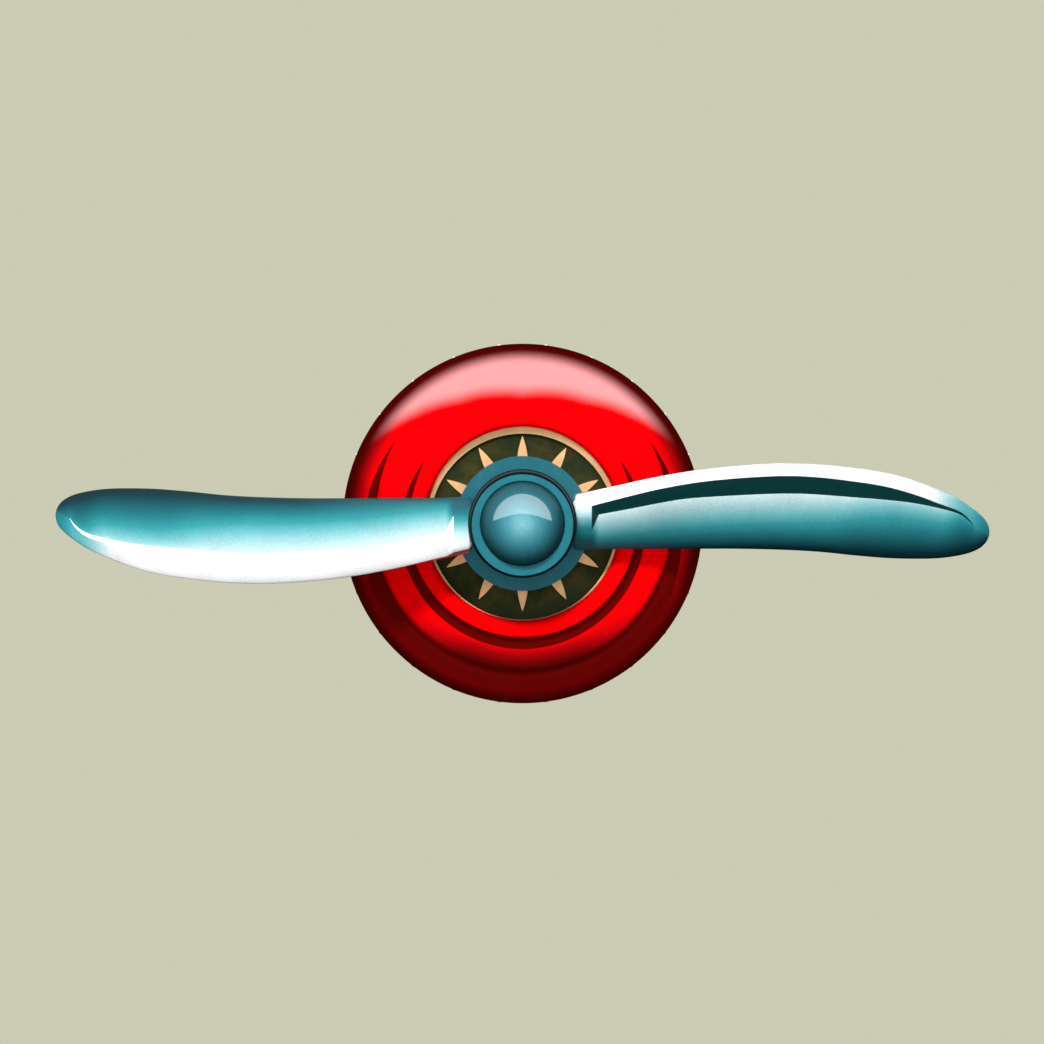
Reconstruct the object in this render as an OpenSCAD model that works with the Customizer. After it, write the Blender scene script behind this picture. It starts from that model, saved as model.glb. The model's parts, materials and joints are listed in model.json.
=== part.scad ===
// Two-blade controllable-pitch propeller on its nose case, inside a stepped nose cowl.
//
// Every module is drawn in the front-view frame: +X to the right, +Y up, +Z forward along the
// shaft, with Z = 0 on the face that bolts to the engine. in_row_frame() stands the result up,
// so that +Z is up and the propeller faces -Y. Lengths are millimetres, angles are degrees.

/* [Propeller] */
// Tip-to-tip diameter of the propeller
prop_d = 2100; // [2000:10:2300]
// Distance the blade helix would advance in one turn, at the rest pitch
helix_pitch = 1300; // [1100:50:1500]
// Height of the leading-edge sheath's ridge above the wooden blade
ridge_h = 9; // [4:0.5:10]

/* [Hub] */
// Height of the blade axis above the engine face
blade_axis_z = 370; // [370:1:376]
// Diameter of the disc behind the hub
backplate_d = 304; // [290:1:330]
// Diameter of the plate that carries the dome
front_plate_d = 244; // [240:1:252]
// Diameter of the dome
dome_d = 188; // [186:1:190]
// Height of the dome above its seat
dome_h = 78; // [74:1:90]

/* [Nose] */
// Largest diameter of the cowl
cowl_d = 815; // [780:5:840]
// Diameter of the cowl's front opening
opening_d = 438; // [434:1:440]
// Number of bronze rays on the baffle plate
ray_count = 12; // [8:1:16]
// Bolt circle diameter of the engine face
mount_pcd = 310; // [308:1:314]
// Radius of the engine face's bolt holes
mount_hole_r = 5.5; // [4.5:0.5:6.5]

/* [Hidden] */
$fn = 96;
eps = 0.01;
prop_r = prop_d / 2;
run_gap = 0.05;      // radial running clearance of shafts and sliding rods

// Colours of the finishes
RED = "#c40a0a";
TEAL = "#2a7f8c";
TEAL_LIGHT = "#3597a4";
OLIVE = "#2b3312";
BRONZE = "#e0a468";
STEEL = "#8f979b";
ALUMINIUM = "#b9bdbd";
WOOD = "#8a5a30";
BLACK = "#16191a";

// Nose case
case_flange_r = 172;
case_flange_t = 14;
case_rear_r = 122;
case_neck_r = 88;
case_neck_z = 100;
case_front_z = 238;
case_front_flange_r = 104;
case_front_flange_t = 12;
mount_hole_count = 12;

// Shaft and its two bearings
journal_r = 40;
bearing_r = 70;
bearing_w = 26;
ball_r = 9.5;
ball_pitch_r = (journal_r + bearing_r) / 2;
ball_count = 14;
front_bearing_z = 200;
rear_bearing_z = 44;
shaft_rear_z = 2;
shaft_flange_z = 280;
shaft_flange_t = 12;
shaft_flange_r = 74;
shaft_neck_r = 38;
drive_bore_r = 20;
drive_bore_l = 60;
rod_r = 12;
stud_circle_r = 58;
stud_r = 6;
stud_count = 6;

// Bearing cap, seal and baffle
cap_t = 12;
cap_bolt_r = 94;
cap_bolt_count = 8;
seal_r = 50;
baffle_z = case_front_z + cap_t;
baffle_t = 3;
baffle_hole_r = 78;

// Hub
hub_rear_z = shaft_flange_z + shaft_flange_t + 4;
backplate_t = 4;
hub_boss_r = 84;
hub_top_z = blade_axis_z + 72;
barrel_r = 66;
barrel_l = 98;
cavity_r = 54;
cavity_l = 78;
bush_r = 44;
clamp_spots = [[36, 68], [80, 72]];
clamp_bolt_r = 4;
lug_r = 10;

// Blade root inside the hub
ferrule_r = 41;
ferrule_x0 = 46;
ferrule_flange_r = 53.5;
ferrule_flange_t = 11;
ferrule_x1 = 104;
stub_r = 36;
stub_x0 = 60;
race_t = 7;
race_in_x = ferrule_x0 + ferrule_flange_t;
race_r0 = 42.5;
race_r1 = 53;
root_ball_r = 5.5;
root_ball_pitch_r = (race_r0 + race_r1) / 2;
root_ball_count = 22;
root_ball_x = (race_in_x + cavity_l) / 2;

// Pitch change
crank_r = 28;
crank_pin_r = 6;
crank_bush_r = 8.5;
fork_slot_gap = 0.15;
fork_half_x = 43;
fork_half_y = 13;
fork_half_z = 16;
ear_x0 = 28;
ear_y1 = 40;
piston_r = 72;
piston_z = hub_top_z + 18;
piston_t = 12;

// Dome and its ring
front_plate_t = 6;
dome_z = hub_top_z + front_plate_t;
dome_flange_t = 4;
dome_flange_r = dome_d / 2 + 12;
dome_ring_r = front_plate_d / 2 - 3;
dome_ring_t = 13;
dome_bore_z = 488 - 370 + blade_axis_z;
spring_r = 26;
spring_wire_r = 2.5;
spring_turns = 5;

// Cowl
cowl_r = cowl_d / 2;
opening_r = opening_d / 2;
sheet = 3;
lip_front_z = 302;
cowl_seam_z = 150;
cowl_rear_z = 20;
former_w = 20;
former_t = 10;
spider_arms = 6;
spider_z = 150;

// Every separate node, in the order in which it comes off on a bench

module in_row_frame() rotate([90, 0, 0]) children();

// ---------------------------------------------------------------- helpers

// A ring or disc about the shaft, from z0 to z1
module ring(r_out, r_in, z0, z1) {
    translate([0, 0, z0]) difference() {
        cylinder(r = r_out, h = z1 - z0);
        if (r_in > 0) translate([0, 0, -1]) cylinder(r = r_in, h = z1 - z0 + 2);
    }
}

// A round bar about the shaft, from z0 to z1
module bar(r, z0, z1) translate([0, 0, z0]) cylinder(r = r, h = z1 - z0);

// A ring or disc about the blade axis of the right-hand blade, from x0 to x1
module blade_ring(r_out, r_in, x0, x1)
    translate([0, 0, blade_axis_z]) rotate([0, 90, 0]) ring(r_out, r_in, x0, x1);

module blade_bar(r, x0, x1)
    translate([0, 0, blade_axis_z]) rotate([0, 90, 0]) bar(r, x0, x1);

// count copies about the shaft, at radius r, the first at angle a0
module around(count, r, a0 = 0)
    for (i = [0:count - 1]) rotate([0, 0, a0 + i * 360 / count]) translate([r, 0, 0]) children();

// The second blade is the first one turned half a turn about the shaft
module on_blade(side) rotate([0, 0, side == "b" ? 180 : 0]) children();
module on_both_blades() for (side = ["a", "b"]) on_blade(side) children();

// The hub's clamp bolts stand at every spot, mirrored into all four quarters
module at_clamp_spots()
    for (spot = clamp_spots, sx = [-1, 1], sy = [-1, 1])
        translate([sx * spot[0], sy * spot[1], 0]) children();

// A hexagonal bolt head or nut of across-corners radius r
module hex(r, z0, z1) translate([0, 0, z0]) cylinder(r = r, h = z1 - z0, $fn = 6);

// A toroidal groove or ring about the z axis
module torus(major_r, minor_r, z) translate([0, 0, z]) rotate_extrude()
    translate([major_r, 0]) circle(r = minor_r, $fn = 48);

// ---------------------------------------------------------------- blade shape

// Blade drawing: [station, leading edge, trailing edge, thickness], as shares of the tip radius.
// The two edges are distances above and below the blade axis in the front view.
BLADE = [
    [0.116, 0.0580, 0.0527, 0.0800], [0.200, 0.0790, 0.0530, 0.0540], [0.280, 0.0970, 0.0536, 0.0410],
    [0.370, 0.1128, 0.0538, 0.0330], [0.460, 0.1226, 0.0540, 0.0275], [0.550, 0.1276, 0.0561, 0.0235],
    [0.630, 0.1257, 0.0604, 0.0205], [0.710, 0.1180, 0.0680, 0.0175], [0.780, 0.1070, 0.0736, 0.0150],
    [0.840, 0.0904, 0.0756, 0.0130], [0.890, 0.0712, 0.0745, 0.0115], [0.930, 0.0536, 0.0694, 0.0100],
    [0.960, 0.0345, 0.0620, 0.0085], [0.981, 0.0180, 0.0518, 0.0070], [0.992, 0.0064, 0.0410, 0.0055],
    [1.000, -0.0185, 0.0185, 0.0030]
];

// The edges run round the tip like a square root, so stations are spread by this depth from the tip
function tip_depth(station) = sqrt(1 - station);

function clamp01(t) = min(1, max(0, t));
function smooth(t) = let (c = clamp01(t)) c * c * (3 - 2 * c);
function mix(a, b, t) = a + (b - a) * t;

// Catmull-Rom curve through column k of the blade drawing, at depth d
function blade_value(d, k) =
    let (n = len(BLADE),
         i = max([for (j = [0:n - 2]) if (j == 0 || tip_depth(BLADE[j][0]) >= d) j]),
         d0 = tip_depth(BLADE[i][0]), d1 = tip_depth(BLADE[i + 1][0]),
         span = d1 - d0, t = clamp01((d - d0) / span),
         p0 = BLADE[i][k], p1 = BLADE[i + 1][k],
         before = max(0, i - 1), after = min(n - 1, i + 2),
         m0 = (p1 - BLADE[before][k]) / (d1 - tip_depth(BLADE[before][0])) * span,
         m1 = (BLADE[after][k] - p0) / (tip_depth(BLADE[after][0]) - d0) * span)
    (2 * t ^ 3 - 3 * t ^ 2 + 1) * p0 + (t ^ 3 - 2 * t ^ 2 + t) * m0
        + (3 * t ^ 2 - 2 * t ^ 3) * p1 + (t ^ 3 - t ^ 2) * m1;

section_points = 32;
root_x = BLADE[0][0] * prop_r;
blade_steps = 34;
max_twist = 36;

function twist(x) = min(max_twist, atan(helix_pitch / (2 * PI * max(x, 1))));

// Section at span x as the loop of [up, forward] points, counted from the leading edge over the
// front face. bulge lifts point k off the face; the front face is the cambered one.
function section(x, bulge) =
    let (d = tip_depth(min(0.9997, x / prop_r)),
         le = blade_value(d, 1) * prop_r, te = blade_value(d, 2) * prop_r,
         t = blade_value(d, 3) * prop_r, turn = twist(x),
         half = (le + te) / 2 / cos(turn), mid = (le - te) / 2 / cos(turn),
         flat = smooth((x / prop_r - 0.12) / 0.2),
         front = mix(0.5, 0.82, flat) * t, back = mix(0.5, 0.18, flat) * t, skew = 0.32 * flat)
    [for (k = [0:section_points - 1])
        let (a = 360 * k / section_points,
             along = mid + half * cos(a),
             rise = (sin(a) >= 0 ? front : back) * sin(a) * (1 + skew * cos(a)) + bulge[k])
        [along * cos(turn) - rise * sin(turn), along * sin(turn) + rise * cos(turn)]];

function stub_section() = [for (k = [0:section_points - 1])
    let (a = 360 * k / section_points + twist(root_x)) stub_r * [cos(a), sin(a)]];

no_bulge = [for (k = [0:section_points - 1]) 0];

// Stations of the wooden core: its round stub, the flare out of the ferrule, then the blade
function core_loops() = concat(
    [for (x = [stub_x0, ferrule_x1 - 6]) [x, stub_section()]],
    [for (i = [1:3]) let (t = i / 4, x = mix(ferrule_x1 - 6, root_x, t))
        [x, mix(1, 0, smooth(t)) * stub_section() + smooth(t) * section(root_x, no_bulge)]],
    [for (i = [0:blade_steps])
        let (x = (1 - (tip_depth(BLADE[0][0]) * (1 - i / blade_steps)) ^ 2) * prop_r,
             xe = min(x, prop_r - 0.3))
        [xe, section(xe, no_bulge)]]);

// A solid swept through loops of equal length, each given as [x, points]
module swept(loops) {
    n = len(loops[0][1]);
    last = len(loops) - 1;
    points = [for (loop = loops, p = loop[1]) [loop[0], p[0], p[1] + blade_axis_z]];
    sides = [for (i = [0:last - 1], k = [0:n - 1])
        let (a = i * n + k, b = i * n + (k + 1) % n)
        each [[a, a + n, b], [b, a + n, b + n]]];
    ends = [[for (k = [0:n - 1]) k], [for (k = [n - 1:-1:0]) last * n + k]];
    polyhedron(points = points, faces = concat(ends, sides), convexity = 6);
}

// Width of the sheath's flat band and of its bevel, at span share s
sheath_s0 = 0.147;
sheath_s1 = 0.966;
function sheath_x(i, n) = mix(sheath_s0, sheath_s1, i / n) * prop_r;

// Height of the sheath over the front face at point k: it climbs to the ridge, then falls away
// over the bevel. The first and last share of the span fade it out.
function sheath_rise(x, k) =
    let (s = x / prop_r, ridge = ridge_h * (1 - smooth((s - 0.80) / 0.17)),
         skin = 1.5, peak = mix(6, 5, smooth((s - 0.2) / 0.3)), foot = 9)
    k <= peak ? mix(skin, ridge, k / peak) : mix(ridge, skin * 0.4, (k - peak) / (foot - peak));
sheath_front = 9;
sheath_back = 3;

// The sheath is the strip between the blade's own surface and that surface lifted
function sheath_loop(x) =
    let (core = section(x, no_bulge),
         lifted = section(x, [for (k = [0:section_points - 1]) k <= sheath_front ? sheath_rise(x, k) : 0]),
         turn = twist(x), n = section_points,
         nose = 1.5 * [cos(turn), sin(turn)],
         outer = [for (k = [sheath_front:-1:1]) lifted[k] + nose * (1 - k / sheath_front)],
         back = 1.2 * [sin(turn), -cos(turn)],
         under = [for (k = [1:sheath_back]) core[n - k] + back + nose * (1 - k / sheath_back)])
    concat(outer, [core[0] + nose], under,
           [for (k = [sheath_back:-1:1]) core[n - k]], [for (k = [0:sheath_front]) core[k]]);

module blade_core() color(WOOD) swept(core_loops());

sheath_steps = 30;
module blade_sheath() color(TEAL_LIGHT) swept([for (i = [0:sheath_steps])
    let (x = sheath_x(i, sheath_steps)) [x, sheath_loop(x)]]);

// The cuff wraps the root of the blade, outside the hub, up to the start of the sheath
cuff_x0 = root_x;
cuff_steps = 4;
module blade_cuff() color(TEAL) difference() {
    swept([for (i = [0:cuff_steps]) let (x = mix(cuff_x0, sheath_s0 * prop_r, i / cuff_steps))
        [x, cuff_loop(x)]]);
    swept([for (i = [0:cuff_steps]) let (x = mix(cuff_x0, sheath_s0 * prop_r, i / cuff_steps),
        reach = i == 0 ? -1 : i == cuff_steps ? 1 : 0) [x + reach, section(x, no_bulge)]]);
}
function cuff_loop(x) =
    let (turn = twist(x))
    [for (k = [0:section_points - 1])
        let (p = section(x, no_bulge)[k], a = 360 * k / section_points,
             lift = 2 + (sin(a) > 0 ? (ridge_h - 2) * sin(a) * clamp01(0.75 + 0.5 * cos(a)) : 0),
             out = [cos(a) * cos(turn) - sin(a) * sin(turn), cos(a) * sin(turn) + sin(a) * cos(turn)])
        p + lift * out];

// Steel ferrule that holds the wooden stub, with the flange that rides on the ball race
module blade_ferrule() color(STEEL) difference() {
    union() {
        blade_bar(ferrule_flange_r, ferrule_x0, race_in_x);
        blade_bar(ferrule_r, race_in_x - eps, ferrule_x1 - 6);
    }
    blade_bar(stub_r + eps, stub_x0, ferrule_x1);
    translate([0, crank_r, 0]) blade_bar(crank_pin_r, ferrule_x0 - 1, ferrule_x0 + 8);
}

module ball_groove() translate([0, 0, blade_axis_z]) rotate([0, 90, 0])
    torus(root_ball_pitch_r, root_ball_r + 0.1, root_ball_x);

module blade_race() color(STEEL) difference() {
    blade_ring(race_r1, race_r0, race_in_x, race_in_x + race_t);
    ball_groove();
}

// Pin pressed into the ferrule, with the bronze bush that slides in the fork
module blade_crank_pin() color(BRONZE) translate([0, crank_r, 0]) {
    blade_bar(crank_pin_r, ear_x0, ferrule_x0 + 8);
    blade_ring(crank_bush_r, crank_pin_r + run_gap, ear_x0 + 1, fork_half_x - 1);
}

// ---------------------------------------------------------------- hub

// The hub before it is split at the blade axis
module hub_outside() {
    bar(hub_boss_r, hub_rear_z, hub_top_z);
    blade_bar(barrel_r, -barrel_l, barrel_l);
    at_clamp_spots() bar(lug_r, blade_axis_z - 18, blade_axis_z + 18);
}

module hub_inside() {
    blade_bar(cavity_r, -cavity_l, cavity_l);
    blade_bar(bush_r, -barrel_l - 1, barrel_l + 1);
    at_clamp_spots() bar(clamp_bolt_r + 0.1, blade_axis_z - 40, blade_axis_z + 40);
    bar(rod_r + 2, blade_axis_z, hub_top_z + 1);
    bar(rod_r + run_gap, hub_rear_z - 1, blade_axis_z);
    around(stud_count, stud_circle_r, 30) bar(stud_r, hub_rear_z - 1, hub_rear_z + 16);
    around(front_screw_count, front_screw_circle_r) bar(front_screw_r, hub_top_z - 12, hub_top_z + 1);
    // Flats that the clamp bolts' heads and nuts seat on, cut back to the lugs' faces
    at_clamp_spots() {
        bar(lug_r + 1, blade_axis_z + 18, hub_top_z + 1);
        bar(lug_r + 1, hub_rear_z - 1, blade_axis_z - 18);
    }
}

module half_space(z0, z1) translate([-prop_r, -prop_r, z0]) cube([prop_d, prop_d, z1 - z0]);

module hub_front_half() color(TEAL) intersection() {
    difference() {
        hub_outside();
        hub_inside();
    }
    half_space(blade_axis_z, hub_top_z + 1);
}

module hub_rear_half() color(TEAL) intersection() {
    difference() {
        hub_outside();
        hub_inside();
    }
    half_space(hub_rear_z - 1, blade_axis_z);
}

module hub_clamp_bolts() color(STEEL) at_clamp_spots() {
    bar(clamp_bolt_r, blade_axis_z - 30, blade_axis_z + 18);
    hex(8, blade_axis_z + 18, blade_axis_z + 25);
}

module hub_clamp_nuts() color(STEEL) at_clamp_spots() difference() {
    hex(8, blade_axis_z - 26, blade_axis_z - 18);
    bar(clamp_bolt_r, blade_axis_z - 27, blade_axis_z - 17);
}

module hub_studs() color(STEEL) around(stud_count, stud_circle_r, 30)
    bar(stud_r, shaft_flange_z - 14, hub_rear_z + 16);

module hub_stud_nuts() color(STEEL) around(stud_count, stud_circle_r, 30) difference() {
    hex(11, shaft_flange_z - 11, shaft_flange_z);
    bar(stud_r, shaft_flange_z - 12, shaft_flange_z + 1);
}

module hub_backplate() color(TEAL) {
    plate_z = hub_rear_z - backplate_t;
    difference() {
        union() {
            bar(backplate_d / 2, plate_z, hub_rear_z);
            ring(backplate_d / 2, backplate_d / 2 - 4, plate_z - 7, plate_z);
        }
        bar(30, plate_z - 1, hub_rear_z + 1);
        around(stud_count, stud_circle_r, 30) bar(stud_r + 0.2, plate_z - 1, hub_rear_z + 1);
    }
}

module blade_balls() color(STEEL)
    for (i = [0:root_ball_count - 1])
        translate([root_ball_x, 0, blade_axis_z]) rotate([i * 360 / root_ball_count, 0, 0])
            translate([0, root_ball_pitch_r, 0]) sphere(r = root_ball_r, $fn = 32);

module blade_outer_races() color(STEEL) on_both_blades() difference() {
    blade_ring(race_r1, race_r0, cavity_l - race_t, cavity_l);
    ball_groove();
}

module blade_bushes() color(BRONZE) on_both_blades()
    blade_ring(bush_r, ferrule_r + run_gap, cavity_l + 1, barrel_l - 2);

// ---------------------------------------------------------------- pitch change

module pitch_rod() color(STEEL) ring(rod_r, 4, shaft_flange_z - 18, piston_z + piston_t + 12);

module pitch_fork() color(STEEL) difference() {
    union() {
        translate([-fork_half_x, -fork_half_y, blade_axis_z - fork_half_z])
            cube([2 * fork_half_x, 2 * fork_half_y, 2 * fork_half_z]);
        on_both_blades() translate([ear_x0, 0, blade_axis_z - fork_half_z])
            cube([fork_half_x - ear_x0, ear_y1, 2 * fork_half_z]);
    }
    slot_half = crank_bush_r + fork_slot_gap;
    on_both_blades() translate([ear_x0 - 1, crank_r - crank_bush_r - 1.5, blade_axis_z - slot_half])
        cube([fork_half_x, ear_y1, 2 * slot_half]);
    bar(rod_r, blade_axis_z - 40, blade_axis_z + 40);
}

module piston() color(ALUMINIUM) difference() {
    ring(piston_r - 0.08, rod_r, piston_z, piston_z + piston_t);
    torus(piston_r - 2.1, 2, piston_z + piston_t / 2);
}

module piston_seal() color(BLACK) torus(piston_r - 2.1, 1.95, piston_z + piston_t / 2);

module rod_nut() color(STEEL) difference() {
    hex(19, piston_z + piston_t, piston_z + piston_t + 9);
    bar(rod_r, piston_z, piston_z + piston_t + 10);
}

// The bush's flange is also the stop that the piston rests on at full fine pitch
module rod_bush() color(BRONZE) difference() {
    union() {
        bar(rod_r + 2, blade_axis_z + cavity_r + 2, dome_z + eps);
        bar(22, dome_z, piston_z - 2.6);
    }
    bar(rod_r + run_gap, blade_axis_z, piston_z);
}

// Coil spring in front of the piston, as a tube swept along a helix
module return_spring() {
    steps = 16 * spring_turns;
    sides = 8;
    z0 = piston_z + piston_t + spring_wire_r + 0.2;
    rise = spring_seat_z - spring_wire_r - 0.2 - z0;
    loops = [for (i = [0:steps]) let (a = 360 * spring_turns * i / steps)
        [for (j = [0:sides - 1]) let (b = 360 * j / sides, r = spring_r + spring_wire_r * cos(b))
            [r * cos(a), r * sin(a), z0 + rise * i / steps + spring_wire_r * sin(b)]]];
    points = [for (loop = loops) each loop];
    skin = [for (i = [0:steps - 1], j = [0:sides - 1])
        let (a = i * sides + j, b = i * sides + (j + 1) % sides)
        each [[a, b, a + sides], [b, b + sides, a + sides]]];
    caps = [[for (j = [sides - 1:-1:0]) j], [for (j = [0:sides - 1]) steps * sides + j]];
    color(STEEL) polyhedron(points = points, faces = concat(caps, skin), convexity = 8);
}

// ---------------------------------------------------------------- dome

front_screw_circle_r = 60;
front_screw_count = 8;
front_screw_r = 3;
spring_seat_z = dome_z + 62;

module front_plate() color(BLACK) difference() {
    bar(front_plate_d / 2, hub_top_z, dome_z);
    bar(rod_r + 2, hub_top_z - 1, dome_z + 1);
    around(front_screw_count, front_screw_circle_r) bar(front_screw_r + 0.2, hub_top_z - 1, dome_z + 1);
    around(12, (dome_flange_r + dome_ring_r) / 2) bar(2.6, hub_top_z - 1, dome_z + 1);
}

module front_plate_screws() color(STEEL) around(front_screw_count, front_screw_circle_r) {
    bar(front_screw_r, hub_top_z - 10, dome_z);
    bar(front_screw_r + 2, dome_z, dome_z + 3);
}

// Half of the dome's section: an elliptical cap on a flange, hollow for the piston and the spring
function dome_arc(steps) = [for (i = [0:steps]) let (a = 90 * i / steps)
    [dome_d / 2 * cos(a), dome_z + dome_flange_t + dome_h * sin(a)]];

module dome() color(TEAL) difference() {
    flange = [[0, dome_z], [dome_flange_r, dome_z], [dome_flange_r, dome_z + dome_flange_t]];
    rotate_extrude() polygon(concat(flange, dome_arc(28)));
    bar(piston_r, dome_z - 1, dome_bore_z);
    bar(48, dome_bore_z - 1, dome_bore_z + 12);
    bar(34, dome_bore_z, spring_seat_z);
}

module dome_ring() color(TEAL_LIGHT) difference() {
    rotate_extrude() polygon([
        [dome_d / 2 + 0.4, dome_z + dome_flange_t], [dome_flange_r + 0.2, dome_z + dome_flange_t],
        [dome_flange_r + 0.2, dome_z], [dome_ring_r, dome_z], [dome_ring_r, dome_z + dome_ring_t - 4],
        [dome_ring_r - 4, dome_z + dome_ring_t], [dome_d / 2 + 3, dome_z + dome_ring_t],
        [dome_d / 2 + 0.4, dome_z + dome_ring_t - 2]]);
    around(12, (dome_flange_r + dome_ring_r) / 2) bar(2.5, dome_z - 1, dome_z + 8);
}

module dome_ring_screws() color(STEEL) around(12, (dome_flange_r + dome_ring_r) / 2) {
    bar(2.5, hub_top_z - eps, dome_z + 7);
    bar(4.5, hub_top_z - 3, hub_top_z);
}

// ---------------------------------------------------------------- shaft and bearings

module propeller_shaft() color(STEEL) difference() {
    union() {
        bar(journal_r - run_gap, shaft_rear_z, front_bearing_z + bearing_w);
        bar(shaft_neck_r, front_bearing_z + bearing_w - 1, shaft_flange_z);
        bar(shaft_flange_r, shaft_flange_z, shaft_flange_z + shaft_flange_t);
    }
    bar(drive_bore_r, shaft_rear_z - 1, shaft_rear_z + drive_bore_l);
    bar(rod_r + run_gap, shaft_rear_z, shaft_flange_z + shaft_flange_t + 1);
    around(stud_count, stud_circle_r, 30)
        bar(stud_r, shaft_flange_z - 1, shaft_flange_z + shaft_flange_t + 1);
}

module shaft_lock_nut() color(STEEL)
    ring(journal_r + 9, journal_r, front_bearing_z - 14, front_bearing_z);

module inner_race(z) color(STEEL) difference() {
    ring(journal_r + 9, journal_r, z, z + bearing_w);
    torus(ball_pitch_r, ball_r + 0.1, z + bearing_w / 2);
}

module outer_race(z) color(STEEL) difference() {
    ring(bearing_r, bearing_r - 9, z, z + bearing_w);
    torus(ball_pitch_r, ball_r + 0.1, z + bearing_w / 2);
}

module thrust_balls() color(STEEL) around(ball_count, ball_pitch_r)
    translate([0, 0, front_bearing_z + bearing_w / 2]) sphere(r = ball_r, $fn = 32);

roller_r = 5.9;
roller_half = 9;
module rear_rollers() color(STEEL) around(ball_count, ball_pitch_r)
    bar(roller_r, rear_bearing_z + bearing_w / 2 - roller_half, rear_bearing_z + bearing_w / 2 + roller_half);

// A cage is a thin ring between the races, with a pocket at each ball or roller
module cage(z, pocket_r) color(BRONZE) difference() {
    ring(ball_pitch_r + 3, ball_pitch_r - 3, z + 0.8, z + bearing_w - 0.8);
    around(ball_count, ball_pitch_r) translate([0, 0, z + bearing_w / 2]) rotate([0, 90, 0])
        cylinder(r = pocket_r, h = 14, center = true);
}

// The roller cage has straight pockets that the rollers drop into
module rear_cage() color(BRONZE) difference() {
    ring(ball_pitch_r + 3, ball_pitch_r - 3, rear_bearing_z + 1, rear_bearing_z + bearing_w - 1);
    mid_z = rear_bearing_z + bearing_w / 2;
    around(ball_count, ball_pitch_r)
        bar(roller_r + 0.15, mid_z - roller_half - 0.2, mid_z + roller_half + 0.2);
}

module rear_race(r_out, r_in) color(STEEL) ring(r_out, r_in, rear_bearing_z, rear_bearing_z + bearing_w);

// ---------------------------------------------------------------- nose case

// Half section of the casting: mounting flange, cone, neck with the two bearing seats
module nose_case() color(ALUMINIUM) difference() {
    rotate_extrude() polygon([
        [bearing_r + eps, 0], [case_flange_r, 0], [case_flange_r, case_flange_t],
        [case_rear_r, case_flange_t], [case_rear_r - 6, 40], [case_neck_r, case_neck_z],
        [case_neck_r, case_front_z - case_front_flange_t - 10],
        [case_front_flange_r, case_front_z - case_front_flange_t],
        [case_front_flange_r, case_front_z], [bearing_r + eps, case_front_z],
        [bearing_r + eps, front_bearing_z], [bearing_r - 7, front_bearing_z],
        [bearing_r - 7, rear_bearing_z + bearing_w], [bearing_r + eps, rear_bearing_z + bearing_w]]);
    around(mount_hole_count, mount_pcd / 2) bar(mount_hole_r, -1, case_flange_t + 1);
    around(cap_bolt_count, cap_bolt_r, 22.5) bar(4, case_front_z - 20, case_front_z + 1);
}

module bearing_cap() color(ALUMINIUM) difference() {
    union() {
        ring(case_front_flange_r, seal_r, case_front_z, baffle_z);
        ring(bearing_r - 0.1, seal_r, front_bearing_z + bearing_w + 0.1, case_front_z + eps);
    }
    around(cap_bolt_count, cap_bolt_r, 22.5) bar(4.2, case_front_z - 1, baffle_z + 1);
}

module oil_seal() color(BLACK) ring(seal_r, shaft_neck_r + run_gap, baffle_z - 11, baffle_z);

module cap_bolts() color(STEEL) around(cap_bolt_count, cap_bolt_r, 22.5) {
    bar(4, case_front_z - 16, baffle_z + baffle_t);
    hex(7.5, baffle_z + baffle_t, baffle_z + baffle_t + 6);
}

// ---------------------------------------------------------------- baffle, rays and trim

module baffle_plate() color(OLIVE) difference() {
    ring(opening_r - 0.1, baffle_hole_r, baffle_z, baffle_z + baffle_t);
    around(cap_bolt_count, cap_bolt_r, 22.5) bar(4.2, baffle_z - 1, baffle_z + baffle_t + 1);
    at_ray_rivets() bar(ray_rivet_r, baffle_z - 1, baffle_z + baffle_t + 1);
}

ray_r0 = 128;
ray_r1 = 198;
ray_w = 25;
ray_t = 5;
ray_rivet_r = 1.5;

// Pointed ray in plan: straight at the foot, drawn to a point by two arcs
function ray_outline(steps) =
    let (side = [for (i = [0:steps]) let (t = i / steps) [mix(ray_r0, ray_r1, t), ray_w / 2 * (1 - t ^ 2.2)]])
    concat([for (p = side) [p[0], -p[1]]], [for (i = [steps - 1:-1:0]) side[i]]);

module baffle_rays() color(BRONZE) for (i = [0:ray_count - 1])
    rotate([0, 0, i * 360 / ray_count]) translate([0, 0, baffle_z + baffle_t]) difference() {
        linear_extrude(ray_t) polygon(ray_outline(10));
        for (r = [ray_r0 + 6, ray_r0 + 36]) translate([r, 0, -1])
            cylinder(r = ray_rivet_r, h = ray_t + 2, $fn = 24);
    }

module at_ray_rivets() for (i = [0:ray_count - 1], r = [ray_r0 + 6, ray_r0 + 36])
    rotate([0, 0, i * 360 / ray_count]) translate([r, 0, 0]) children();

module ray_rivets() color(BRONZE) at_ray_rivets() {
    bar(ray_rivet_r, baffle_z, baffle_z + baffle_t + ray_t);
    bar(2.6, baffle_z + baffle_t + ray_t, baffle_z + baffle_t + ray_t + 1.2);
    bar(2.6, baffle_z - 1.2, baffle_z);
}

// Trim ring inside the opening: its inner edge is set low, so it is wide at the top and thin at
// the bottom
trim_w = 9;
trim_drop = 7;
module trim_ring() color(BRONZE) difference() {
    rotate_extrude() polygon([
        [opening_r - trim_w - trim_drop, baffle_z + baffle_t], [opening_r - 0.1, baffle_z + baffle_t],
        [opening_r - 0.1, baffle_z + baffle_t + 20], [opening_r - 2.1, baffle_z + baffle_t + 22],
        [opening_r - trim_w - trim_drop, baffle_z + baffle_t + 12]]);
    translate([0, -trim_drop, 0]) bar(opening_r - trim_w, baffle_z, baffle_z + 40);
}

// ---------------------------------------------------------------- cowl

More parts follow.
